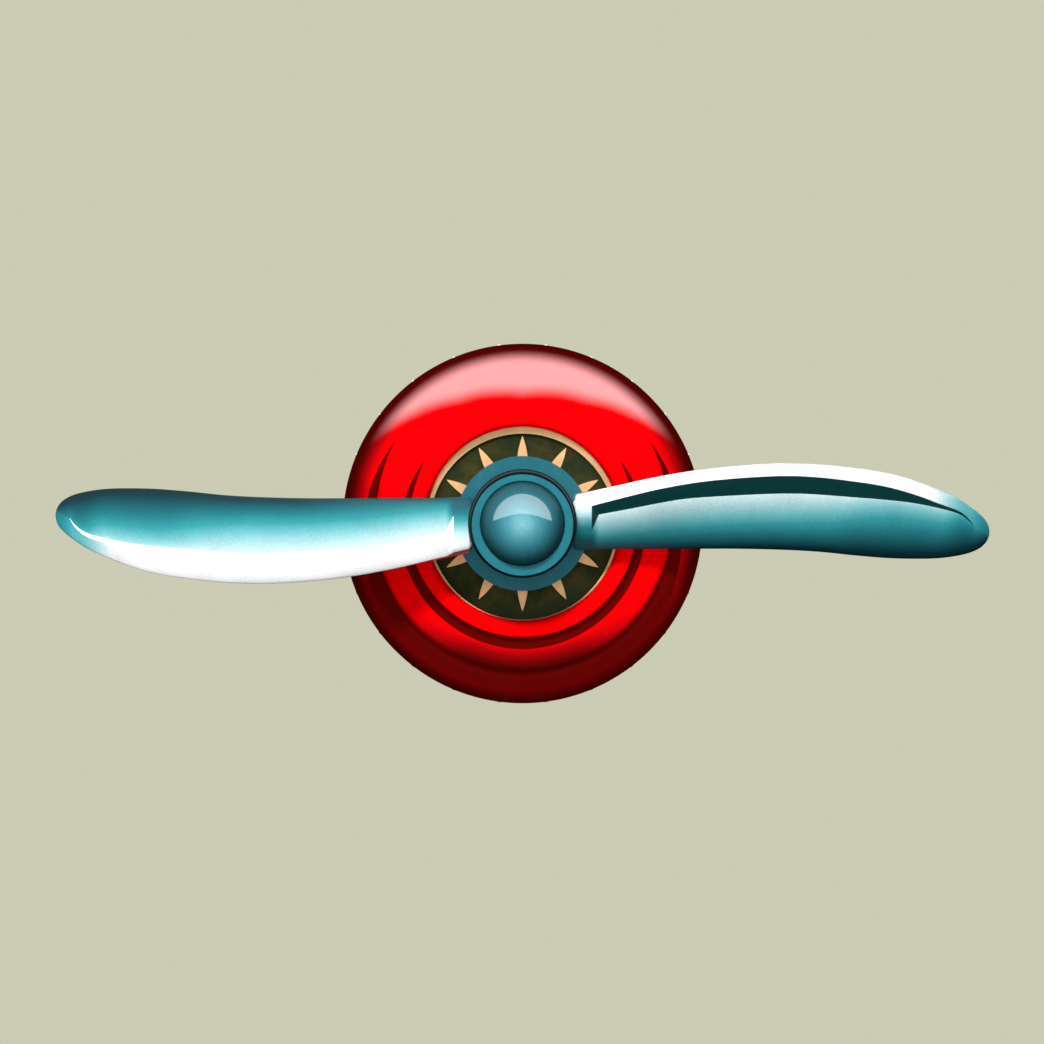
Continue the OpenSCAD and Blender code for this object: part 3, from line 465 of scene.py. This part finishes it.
# (station as a share of the tip radius, then the widths of the sheath's band and of its bevel
# as seen from the front, in metres)
SHEATH = [
    (0.100, 0.0310, 0.0190), (0.150, 0.0310, 0.0225), (0.167, 0.0305, 0.0240),
    (0.253, 0.0290, 0.0300), (0.339, 0.0280, 0.0325), (0.425, 0.0285, 0.0370),
    (0.511, 0.0290, 0.0392), (0.597, 0.0290, 0.0392), (0.683, 0.0305, 0.0370),
    (0.769, 0.0315, 0.0305), (0.833, 0.0318, 0.0205), (0.898, 0.0305, 0.0095),
    (0.940, 0.0270, 0.0060), (0.955, 0.0300, 0.0045), (0.963, 0.0345, 0.0022),
    (0.968, 0.0400, 0.0005), (1.000, 0.0260, 0.0004)]
RIDGE_H = 0.0090           # height of the sheath's ridge above the face
SKIN = 0.0012              # the sheath's thickness at the leading edge
PITCH = 1.300              # geometric pitch
TWIST_LIMIT = 36           # degrees, reached at the root
STUB_X = 0.0985            # inner end of the round shank
STUB_R = 0.0358            # its radius
ROOT_X = 0.1218            # where the shank has become the blade
ROOT_END_X = 0.1795        # end of the finely divided root
CUFF_X = 0.1475 * 1.05     # outer end of the cuff's flat top
CUFF_TIP_Z = -0.018        # the cuff's lower tip
CUFF_D = 0.0155            # how far its slope reaches out, at most
BEVEL_END = 0.968          # share of the tip radius at which the bevel has run out


def twist(x):
    angle = math.atan(PITCH / (2 * math.pi * max(x, 0.001)))
    return min(math.radians(TWIST_LIMIT), angle)


def table(rows, key, col, s):
    """Catmull-Rom through a table's column, with stations spread by key."""
    d = key(s)
    ds = [key(r[0]) for r in rows]
    n = len(rows)
    i = 0
    for j in range(n - 1):
        if (ds[j] - d) * (ds[0] - ds[-1]) >= 0:
            i = j
    d0, d1 = ds[i], ds[i + 1]
    span = d1 - d0
    t = min(1.0, max(0.0, (d - d0) / span))
    p0, p1 = rows[i][col], rows[i + 1][col]
    b, a = max(0, i - 1), min(n - 1, i + 2)
    m0 = (p1 - rows[b][col]) / (d1 - ds[b]) * span
    m1 = (rows[a][col] - p0) / (ds[a] - d0) * span
    return ((2 * t**3 - 3 * t**2 + 1) * p0 + (t**3 - 2 * t**2 + t) * m0
            + (3 * t**2 - 2 * t**3) * p1 + (t**3 - t**2) * m1)


def tip_key(s):
    return math.sqrt(max(0.0, 1 - s))


FRONT = 84       # rows over the front face
BACK = 36        # rows over the rear face
BAND = 12        # rows across the flat band of the sheath
BEVEL = 10       # rows across its bevel
EDGE_BACK = 8    # rows of the rear face that the sheath wraps
PAINT, WOOD, METAL = range(3)


def blade_section(x):
    """Points round one section as (up, forward, share of the chord, zone, share of the aft face),
    from the leading edge over the front face to the trailing edge and back under. Zones: 0 band,
    1 bevel, 2 aft face, 3 the cuff's slope, 4 the cuff's top, 5 rear face."""
    s = min(0.9997, x / TIP_R)
    le, te, th = (table(BLADE, tip_key, c, s) * TIP_R for c in (1, 2, 3))
    band, bevel = (table(SHEATH, float, c, s) for c in (1, 2))
    turn = twist(x)
    c, sn = math.cos(turn), math.sin(turn)
    half, mid = (le + te) / 2 / c, (le - te) / 2 / c
    # the root is a plain oval; further out the back is nearly flat and the front is fullest forward
    flat = smooth01((s - 0.12) / 0.2)
    front, back, skew = mixf(0.5, 0.82, flat) * th, mixf(0.5, 0.18, flat) * th, 0.32 * flat
    ridge = RIDGE_H * (1 - smooth01((s - 0.86) / 0.11))
    chord = 2 * half

    def bulge(along):
        """Height of the front face over the chord line at a place along it."""
        a = math.acos(max(-1.0, min(1.0, along / half)))
        return front * math.sin(a) * (1 + skew * math.cos(a))

    def turned(along, rise):
        """(up, forward) of a point, once the twist is put in."""
        return (along + mid) * c - rise * sn, (along + mid) * sn + rise * c

    def seen(w, lift):
        """How far up the front view shows the face's point at w from the leading edge."""
        return turned(half - w, bulge(half - w) + lift)[0]

    def find(target, lift):
        """Distance from the leading edge at which the front view shows the height target."""
        lo, hi = 0.0, chord
        for _ in range(26):
            m = (lo + hi) / 2
            lo, hi = (m, hi) if seen(m, lift) > target else (lo, m)
        return (lo + hi) / 2

    # where the band and the bevel end, by distance from the leading edge along the chord
    w0 = max(0.02 * chord, min(find(le - band, ridge), 0.45 * chord))
    w1 = max(w0 + 0.0004, min(find(le - band - max(bevel, 0.0004), 0.0), 0.80 * chord))
    widths = [w0 * (i / BAND) ** 1.5 for i in range(BAND)]
    widths += [mixf(w0, w1, i / BEVEL) for i in range(BEVEL)]
    rest = FRONT - BAND - BEVEL
    widths += [mixf(w1, chord, math.sin(i / rest * math.pi / 2)) for i in range(rest)]
    out = []
    for w in widths:
        along = half - min(w, chord)
        rise = bulge(along)
        if w <= w0:
            lift, zone = mixf(SKIN, ridge, smooth01(w / w0) ** 0.8), 0
        elif w < w1 - 1e-9:
            lift, zone = ridge * (1 - (w - w0) / (w1 - w0)), 1
        else:
            lift, zone = 0.0, 2
        up = turned(along, rise)[0]
        # root cuff: its front stands as high as the ridge and falls to nothing at its lower tip
        share = clamp01((up - CUFF_TIP_Z) / 0.060)
        reach = CUFF_D * clamp01((up - CUFF_TIP_Z) / 0.0365)
        top = ridge * min(1.0, share * 1.6) if up > CUFF_TIP_Z else 0.0
        if x <= CUFF_X:
            cuff = top
        elif reach > 1e-6 and x < CUFF_X + reach:
            cuff = top * (1 - (x - CUFF_X) / reach)
        else:
            cuff = 0.0
        if cuff > lift + 1e-9:
            lift = cuff
            if zone != 0:
                zone = 4 if x <= CUFF_X + 1e-9 else 3
        out.append((*turned(along, rise + lift), w / chord, zone,
                    (w - w1) / max(1e-6, chord - w1)))
    for i in range(BACK):
        a = math.pi + math.pi * i / BACK
        along = half * math.cos(a)
        rise = back * math.sin(a) * (1 + skew * math.cos(a))
        out.append((*turned(along, rise), (half - along) / chord, 5, 0.0))
    return out


def blade_stations():
    """Places along the blade, close together at the cuff and towards the tip."""
    xs = list(np.linspace(STUB_X, ROOT_X, 12)[:-1]) + list(np.linspace(ROOT_X, ROOT_END_X, 58)[:-1])
    outer = 170
    d0, d1 = tip_key(ROOT_END_X / TIP_R), tip_key(0.99975)
    for i in range(outer):
        d = mixf(d0, d1, i / (outer - 1))
        xs.append((1 - d * d) * TIP_R)
    return xs


def blade_tone(x, up, share, zone, aft):
    """The lacquer's tone at a point, painted highlight and painted shade included: 0 white, 1 nearly black."""
    s = x / TIP_R
    if zone == 5:
        return 0.0
    # painted shade at the very tip
    tip = 0.14 * smooth01((s - 0.955) / 0.04)
    # the cuff fades from nearly white at the leading edge to teal at the trailing edge, painted highlight to
    # painted shade
    cuff = mixf(0.22, 0.84, smooth01(0.52 - 10.3 * up))
    if zone in (3, 4):
        return cuff
    if zone in (0, 1):
        value = 0.16 * share + 0.54 * smooth01((s - 0.83) / 0.13) + tip
    else:
        # aft face: a painted highlight under the bevel, painted shade at the trailing edge and towards the tip
        last = mixf(0.93, 1.0, smooth01((s - 0.20) / 0.35))
        first = mixf(0.29, 0.36, smooth01((s - 0.65) / 0.15))
        first += 0.27 * smooth01((s - 0.89) / 0.07) + tip
        fade = mixf(1.15, 0.74, smooth01((s - 0.56) / 0.22))
        value = mixf(first, last, clamp01(aft) ** fade)
    return min(1.0, mixf(cuff, value, smooth01((x - CUFF_X + 0.002) / 0.022)))


def build_blade(side):
    sign = 1.0 if side == "a" else -1.0
    xs = blade_stations()
    root = blade_section(ROOT_X)
    n = len(root)
    verts, tone_v, zone_v = [], [], []
    for x in xs:
        if x < ROOT_X:
            # from the round shank to the root section
            t = smooth01((x - STUB_X) / (ROOT_X - STUB_X))
            pts = []
            for up, fwd, share, zone, aft in root:
                turn = math.atan2(fwd, up)
                pts.append((mixf(STUB_R * math.cos(turn), up, t),
                            mixf(STUB_R * math.sin(turn), fwd, t),
                            share, 4 if zone in (1, 2, 4) else zone, aft))
        else:
            pts = blade_section(x)
        for up, fwd, share, zone, aft in pts:
            verts.append((sign * x, AXIS_Y - fwd, sign * up))
            tone_v.append(blade_tone(x, up, share, zone, aft))
            zone_v.append(zone)
    faces, fm = [], []
    zone_v = np.array(zone_v).reshape(len(xs), n)
    for i in range(len(xs) - 1):
        for k in range(n):
            l = (k + 1) % n
            faces.append((i * n + k, i * n + l, (i + 1) * n + l, (i + 1) * n + k))
            past_cuff = xs[i] >= CUFF_X - 1e-6
            bevel = (BAND <= k < BAND + BEVEL and zone_v[i, k] in (0, 1)
                     and zone_v[i + 1, l] in (1, 2) and xs[i] < BEVEL_END * TIP_R)
            cuff_slope = k < FRONT and zone_v[i, l] == 3
            if k >= n - EDGE_BACK or (past_cuff and (bevel or cuff_slope)):
                fm.append(METAL)
            elif k >= FRONT:
                fm.append(WOOD)
            else:
                fm.append(PAINT)
    faces.append(tuple(range(n - 1, -1, -1)))
    fm.append(WOOD)
    faces.append(tuple((len(xs) - 1) * n + k for k in range(n)))
    fm.append(PAINT)
    obj = new_mesh(f"blade_{side}_finished", verts, faces, [blade_paint, wood, blade_edge], fm)
    set_float(obj, "tone", tone_v)
    mark_sharp(obj, 8.0)
    me = obj.data
    # the fine facets at the edges stay smooth: only the ridge, the bevel's foot and the cuff crease
    sharp = np.zeros(len(me.edges), bool)
    me.attributes["sharp_edge"].data.foreach_get("value", sharp)
    ends = np.zeros(len(me.edges) * 2, np.int32)
    me.edges.foreach_get("vertices", ends)
    ends = ends.reshape(-1, 2)
    row, station = ends % n, ends[:, 0] // n
    along_ridge = (row[:, 0] == row[:, 1]) & np.isin(row[:, 0], (BAND, BAND + BEVEL))
    near_cuff = np.abs(np.array(xs)[station] - CUFF_X) < 0.03
    off_the_edges = (row[:, 0] >= 3) & (row[:, 0] < FRONT - 6)
    keep = sharp & off_the_edges & (along_ridge | near_cuff)
    me.attributes["sharp_edge"].data.foreach_set("value", keep)
    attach(obj, f"blade_{side}")
    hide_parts(f"blade_{side}_core", f"blade_{side}_sheath", f"blade_{side}_cuff")


build_blade("a")
build_blade("b")

# ------------------------------------------------------------------ cowl nose ring

OPENING_R = 0.219
COWL_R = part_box("cowl_nose_ring")[1].x
COWL_BACK = 0.1502         # the ring's rear edge, forward of the frame's origin
SHEET = 0.0026             # thickness of the ring's sheet


def polyline(points, count):
    """count points spread evenly along the polyline."""
    p = np.array(points, float)
    d = np.concatenate([[0], np.cumsum(np.linalg.norm(np.diff(p, axis=0), axis=1))])
    t = np.linspace(0, d[-1], count)
    return np.stack([np.interp(t, d, p[:, 0]), np.interp(t, d, p[:, 1])], axis=1)


def arc(a, b, kind, steps):
    """Quarter ellipse from a to b: kind 'out' leaves along the radius, 'in' arrives along it."""
    out = []
    for i in range(steps + 1):
        t = math.pi / 2 * i / steps
        if kind == "out":
            out.append((mixf(a[0], b[0], math.sin(t)), mixf(b[1], a[1], math.cos(t))))
        else:
            out.append((mixf(b[0], a[0], math.cos(t)), mixf(a[1], b[1], math.sin(t))))
    return out


LIP_EDGE, CREST = (OPENING_R, 0.284), (OPENING_R + 0.017, 0.302)
LIP = [(OPENING_R, 0.2505), LIP_EDGE] + arc(LIP_EDGE, CREST, "in", 8)[1:]


def tiered(n):
    """The stepped line, from the lip's crest outwards, in n points."""
    pts = [CREST]
    for i in range(1, 9):                                   # tier 1, its crown
        u = i / 8
        pts.append((mixf(0.236, 0.2560, u), 0.302 - 0.0045 * u * u))
    pts += [(0.2595, 0.2955), (0.2655, 0.2885), (0.2700, 0.2862)]           # its wall
    for i in range(1, 13):                                  # tier 2, its crown
        u = i / 12
        pts.append((mixf(0.2700, 0.3260, u), 0.2862 + 0.004 * u - 0.0120 * u * u))
    pts += [(0.3310, 0.2735), (0.3385, 0.2650), (0.3430, 0.2622)]           # its wall
    pts += arc(pts[-1], (COWL_R, 0.164), "out", 26)[1:]     # tier 3, the bulge to the rim
    pts.append((COWL_R, COWL_BACK))
    return polyline(pts, n)


def smooth_line(n):
    """The line over the top, where the steps have run out: a shoulder that leans ever more."""
    r, h = CREST
    pts = [CREST]
    last, steps, lean_from, lean_to = 0.379, 60, 6.0, 41.0
    dr = (last - r) / steps
    for i in range(steps):
        lean = math.radians(mixf(lean_from, lean_to, (i + 0.5) / steps))
        r, h = r + dr, h - math.tan(lean) * dr
        pts.append((r, h))
    bend = np.array((COWL_R, h - math.tan(math.radians(lean_to)) * (COWL_R - r)))
    a, b = np.array(pts[-1]), np.array((COWL_R, 0.160))
    for i in range(1, 25):
        t = i / 24
        pts.append(tuple((1 - t) ** 2 * a + 2 * t * (1 - t) * bend + t * t * b))
    pts.append((COWL_R, COWL_BACK))
    return polyline(pts, n)


N_LINE = 150
TIERED, SMOOTH = tiered(N_LINE), smooth_line(N_LINE)


def steps_at(phi):
    """1 where the steps are full, 0 over the top; phi is counted from straight up."""
    up = math.degrees(abs(((phi + math.pi) % (2 * math.pi)) - math.pi))
    return smooth01((up - 46) / 22)


def cowl_loop(phi):
    """The ring's section at an angle: the outer line, and the inner line a sheet's thickness in."""
    outer = np.concatenate([LIP[:-1], mixf(SMOOTH, TIERED, steps_at(phi))])
    d = np.gradient(outer, axis=0)
    ln = np.linalg.norm(d, axis=1)
    inner = outer + SHEET * np.stack([d[:, 1] / ln, -d[:, 0] / ln], axis=1)
    inner[:, 0] = np.minimum(inner[:, 0], COWL_R - SHEET)
    return [tuple(q) for q in np.concatenate([outer, inner[::-1]])]


section = cowl_loop(0.0)
half_way = len(section) // 2
cowl = lathe("cowl_nose_finished", section, [red, primer], turns=360, warp=cowl_loop,
             face_mats=[0 if k < half_way else 1 for k in range(len(section))])
co = np.array([v.co for v in cowl.data.vertices])
rad = np.hypot(co[:, 0], co[:, 2])
ang = np.degrees(np.abs(np.arctan2(co[:, 0], co[:, 2])))    # 0 at the top, 180 at the bottom


def painted_shade_crescent(r, angle, at, inner, outer):
    """1 inside a band of painted shade whose edges, given at some angles, meet in a point at the sides."""
    lo, hi = np.interp(angle, at, inner), np.interp(angle, at, outer)
    soft = 0.0016
    inside = np.clip((r - lo) / soft + 0.5, 0, 1) * np.clip((hi - r) / soft + 0.5, 0, 1)
    return inside * np.clip((angle - 55) / 3, 0, 1)


# the two dark crescents: painted shade along the steps, from the sides down to the bottom
band = np.maximum(
    painted_shade_crescent(rad, ang, [56, 70, 105, 180], [0.262, 0.256, 0.257, 0.255],
             [0.262, 0.268, 0.279, 0.284]),
    painted_shade_crescent(rad, ang, [56, 78, 105, 116, 122], [0.342, 0.333, 0.334, 0.334, 0.334],
             [0.342, 0.354, 0.366, 0.372, 0.334]))

# How far painted shade has darkened the red: 0 is plain red, 1 the darkest. Radii are in metres from the
# shaft, angles in degrees from straight up, and each pair is where a fade begins and ends.
RIM_FADE, RIM_DARK = (0.340, 0.402), 0.92            # towards the rim, over the top and the sides
LOWER_HALF = (102, 116)                              # where the lower half's shading takes over
BULGE_FADE, BULGE_DARK = (0.326, 0.3385), 0.82       # the last tier, in the shade below
# GLOW is a painted highlight: it lightens the painted shade along the last tier's crown
GLOW_R, GLOW_WIDTH, GLOW = 0.380, 0.014, 0.12        # the paler line along that tier's crown
TIER_FADE, TIER_DARK = (0.282, 0.326), 0.87          # the tier inside it, darkest at the bottom
TIER_ANGLES = (118, 162)


def fade(values, ends):
    """0 before the first end, 1 after the second, and smooth in between."""
    return smooth_array((values - ends[0]) / (ends[1] - ends[0]))


rim = RIM_DARK * fade(rad, RIM_FADE)
low = fade(ang, TIER_ANGLES)
across = np.clip((rad - TIER_FADE[0]) / (TIER_FADE[1] - TIER_FADE[0]), 0, 1)
tier = TIER_DARK * low * across ** (2.0 - 1.5 * low)
bulge = BULGE_DARK - GLOW * np.exp(-((rad - GLOW_R) / GLOW_WIDTH) ** 2)
shade = mixf(rim, mixf(tier, bulge, fade(rad, BULGE_FADE)), fade(ang, LOWER_HALF))
# the painted shade goes back to plain red before the seam with the skirts
seam = smooth_array((co[:, 1] + 0.180) / 0.028)
shade = mixf(shade, 0.33, seam)
set_float(cowl, "shade", shade)
# the polished part of the crown, over which the gloss is even; it thins out towards the sides
edge_in = np.interp(ang, [0, 28, 45, 56, 66, 180], [0.289, 0.311, 0.345, 0.374, 0.405, 0.405])
gloss = smooth_array((rad - edge_in + 0.014) / 0.042) * (1 - smooth_array((rad - 0.358) / 0.036))
set_float(cowl, "gloss", gloss)
set_float(cowl, "band", band)
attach(cowl, "nose")
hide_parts("cowl_nose_ring")

# ------------------------------------------------------------------ dome, its ring, the spring

PLATE_H = -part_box("front_plate")[0].y       # front face of the plate, where the dome stands
DOME_TOP = -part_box("dome")[0].y
DOME_R = 0.094
FLANGE_R, FLANGE_H = 0.1055, PLATE_H + 0.004
FOOT_H = PLATE_H + 0.0002
profile = [(0.0, DOME_TOP)]
for i in range(1, 65):
    t = math.pi / 2 * i / 64
    profile.append((DOME_R * math.sin(t), FLANGE_H + (DOME_TOP - FLANGE_H) * math.cos(t)))
profile += [(DOME_R, FLANGE_H), (FLANGE_R, FLANGE_H), (FLANGE_R, FOOT_H)]
# the inside: room for the piston, then a flattened crown
profile += [(0.0725, FOOT_H), (0.0725, PLATE_H + 0.040), (0.046, PLATE_H + 0.052),
            (0.0, PLATE_H + 0.056)]


def cap_lathe(name, open_profile, mats, turns=192, crease=30):
    """A solid whose profile starts and ends on the shaft axis."""
    verts, faces = [], []
    first, last, ring = open_profile[0], open_profile[-1], open_profile[1:-1]
    n = len(ring)
    for i in range(turns):
        phi = 2 * math.pi * i / turns
        for r, h in ring:
            verts.append((r * math.sin(phi), -h, r * math.cos(phi)))
    top, bottom = len(verts), len(verts) + 1
    verts += [(0, -first[1], 0), (0, -last[1], 0)]
    for i in range(turns):
        j = (i + 1) % turns
        faces.append((top, i * n, j * n))
        for k in range(n - 1):
            faces.append((i * n + k, i * n + k + 1, j * n + k + 1, j * n + k))
        faces.append((bottom, j * n + n - 1, i * n + n - 1))
    obj = new_mesh(name, verts, faces, mats)
    mark_sharp(obj, crease)
    return obj


dome = cap_lathe("dome_finished", profile, [teal_dome])
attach(dome, "hub")
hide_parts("dome")

ring_lo, ring_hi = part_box("dome_ring")
RING_R, RING_H = ring_hi.x, -ring_lo.y
LIP_R, STEP_R, STEP_H = DOME_R + 0.0006, 0.1062, PLATE_H + 0.0042
loop = rounded([(LIP_R, STEP_H), (STEP_R, STEP_H), (STEP_R, FOOT_H), (RING_R, FOOT_H),
                (RING_R, RING_H - 0.0030), (RING_R - 0.0030, RING_H),
                (DOME_R + 0.0022, RING_H), (LIP_R, RING_H - 0.0016)], 0.0009, 3)
ring = lathe("dome_ring_finished", loop, [teal_ring])
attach(ring, "hub")
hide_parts("dome_ring")

# The return spring: a copy of the CAD's coil in place of the hidden original. Its rear end stands on the piston,
# and on the real thing its coils close up as the piston comes forward
spring = bpy.data.objects.new("return_spring_coil", nodes["return_spring"].data.copy())
bpy.context.scene.collection.objects.link(spring)
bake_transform(spring)
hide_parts("return_spring")

# ------------------------------------------------------------------ stage, light and camera

BACKDROP = (0.60, 0.60, 0.46, 1)
# the floor lies under the front view's lower edge, and reaches to the camera and far behind
bpy.ops.mesh.primitive_plane_add(size=1, location=(0, -12.5, -1.92))
floor = bpy.context.object
floor.name = "floor"
floor.scale = (55, 55, 1)
pale = Mat("pale_floor", roughness=0.9, specular=0.0)
pale.base(pale.ramp(pale.noise(0.8, 3.0), [
    (0.3, (0.225, 0.225, 0.175, 1)), (0.7, (0.245, 0.245, 0.192, 1))]))
pale.p.inputs["Emission Color"].default_value = BACKDROP
pale.p.inputs["Emission Strength"].default_value = 0.80
floor.data.materials.append(pale.m)
floor.visible_glossy = False
floor.visible_diffuse = False


def area(name, at, size, power):
    """A soft lamp that looks at the object, and that neither the camera nor a reflection shows."""
    light = bpy.data.lights.new(name, "AREA")
    light.shape = "RECTANGLE"
    light.size, light.size_y = size
    light.energy = power
    obj = bpy.data.objects.new(name, light)
    obj.location = at
    obj.rotation_euler = (CENTRE - Vector(at)).to_track_quat("-Z", "Y").to_euler()
    obj.visible_glossy = False
    obj.visible_camera = False
    bpy.context.scene.collection.objects.link(obj)


CENTRE = Vector((0, -0.3, 0))
area("front_fill", (0.0, -7.0, 0.8), (3.2, 3.2), 70)
area("key_above", (-0.4, -3.3, 2.0), (0.7, 0.5), 108)
area("low_fill", (0.0, -4.2, -1.6), (2.4, 0.9), 60)
area("back_fill", (-3.5, 4.5, 2.5), (3.0, 3.0), 210)
area("side_fill", (4.5, 1.5, 1.5), (2.5, 2.5), 90)

# World: the camera sees the backdrop, reflections see a softbox overhead, the rest is dim
world = bpy.data.worlds.new("studio")
bpy.context.scene.world = world
world.use_nodes = True
wt = world.node_tree
wt.nodes.clear()


def wnode(kind, **props):
    n = wt.nodes.new(kind)
    for k, v in props.items():
        setattr(n, k, v)
    return n


def wmath(op, a, b, clamp=False):
    n = wnode("ShaderNodeMath", operation=op, use_clamp=clamp)
    for i, v in enumerate((a, b)):
        if isinstance(v, (int, float)):
            n.inputs[i].default_value = v
        else:
            wt.links.new(v, n.inputs[i])
    return n.outputs[0]


def background(color, strength):
    n = wnode("ShaderNodeBackground")
    n.inputs["Color"].default_value = color
    if isinstance(strength, (int, float)):
        n.inputs["Strength"].default_value = strength
    else:
        wt.links.new(strength, n.inputs["Strength"])
    return n.outputs[0]


def join(kind, *inputs):
    n = wnode(kind)
    for i, v in enumerate(inputs):
        wt.links.new(v, n.inputs[i])
    return n.outputs[0]


def soft_edge(value, start, steepness):
    """0 below start, 1 from 1 / steepness above it."""
    return wmath("MULTIPLY", wmath("SUBTRACT", value, start), steepness, clamp=True)


def soft_end(value, end, steepness):
    """0 above end, 1 from 1 / steepness below it."""
    return wmath("MULTIPLY", wmath("SUBTRACT", end, value), steepness, clamp=True)


out = wnode("ShaderNodeOutputWorld")
tc = wnode("ShaderNodeTexCoord")
sep = wnode("ShaderNodeSeparateXYZ")
wt.links.new(tc.outputs["Generated"], sep.inputs[0])
dx, dy, dz = sep.outputs
# the overhead softbox: its front edge hangs lower at the sides, and it reaches back past the zenith
sag = wmath("MULTIPLY", wmath("MULTIPLY", dx, dx), 0.30)
above = soft_edge(dz, wmath("SUBTRACT", 0.36, sag), 22.0)
softbox = wmath("MULTIPLY", wmath("MULTIPLY", above, soft_end(dy, 0.62, 6.0)), 5.0)
# behind the object: a soft glow that leaves the far horizon dark, so the outlines stay dark
behind = wmath("MULTIPLY", soft_edge(dy, 0.15, 2.5), soft_end(dy, 0.90, 6.0))
over = wmath("ADD", wmath("MULTIPLY", dz, 0.8), 0.45, clamp=True)
glow = wmath("ADD", softbox, wmath("MULTIPLY", wmath("MULTIPLY", over, behind), 0.5))
reflected = join("ShaderNodeAddShader", background((1, 1, 1, 1), glow),
                 background((0.004, 0.040, 0.041, 1), 1.0))
path = wnode("ShaderNodeLightPath")
lit = join("ShaderNodeMixShader", path.outputs["Is Glossy Ray"],
           background((0.97, 0.985, 1.0, 1), 0.16), reflected)
seen_by_camera = join("ShaderNodeMixShader", path.outputs["Is Camera Ray"],
                      lit, background(BACKDROP, 1.0))
wt.links.new(seen_by_camera, out.inputs["Surface"])

bpy.context.scene.view_settings.view_transform = "Standard"

cam_data = bpy.data.cameras.new("camera")
DISTANCE = 25.0
cam_data.sensor_width = 36.0
cam_data.lens = 36.0 * DISTANCE / PHOTO_SPAN
cam_data.clip_end = 200.0
camera = bpy.data.objects.new("camera", cam_data)
camera.location = (-0.0011, AXIS_Y - DISTANCE, 0.0034)     # the picture's centre is off by this
camera.rotation_euler = (math.radians(90), 0, 0)
bpy.context.scene.collection.objects.link(camera)
bpy.context.scene.camera = camera
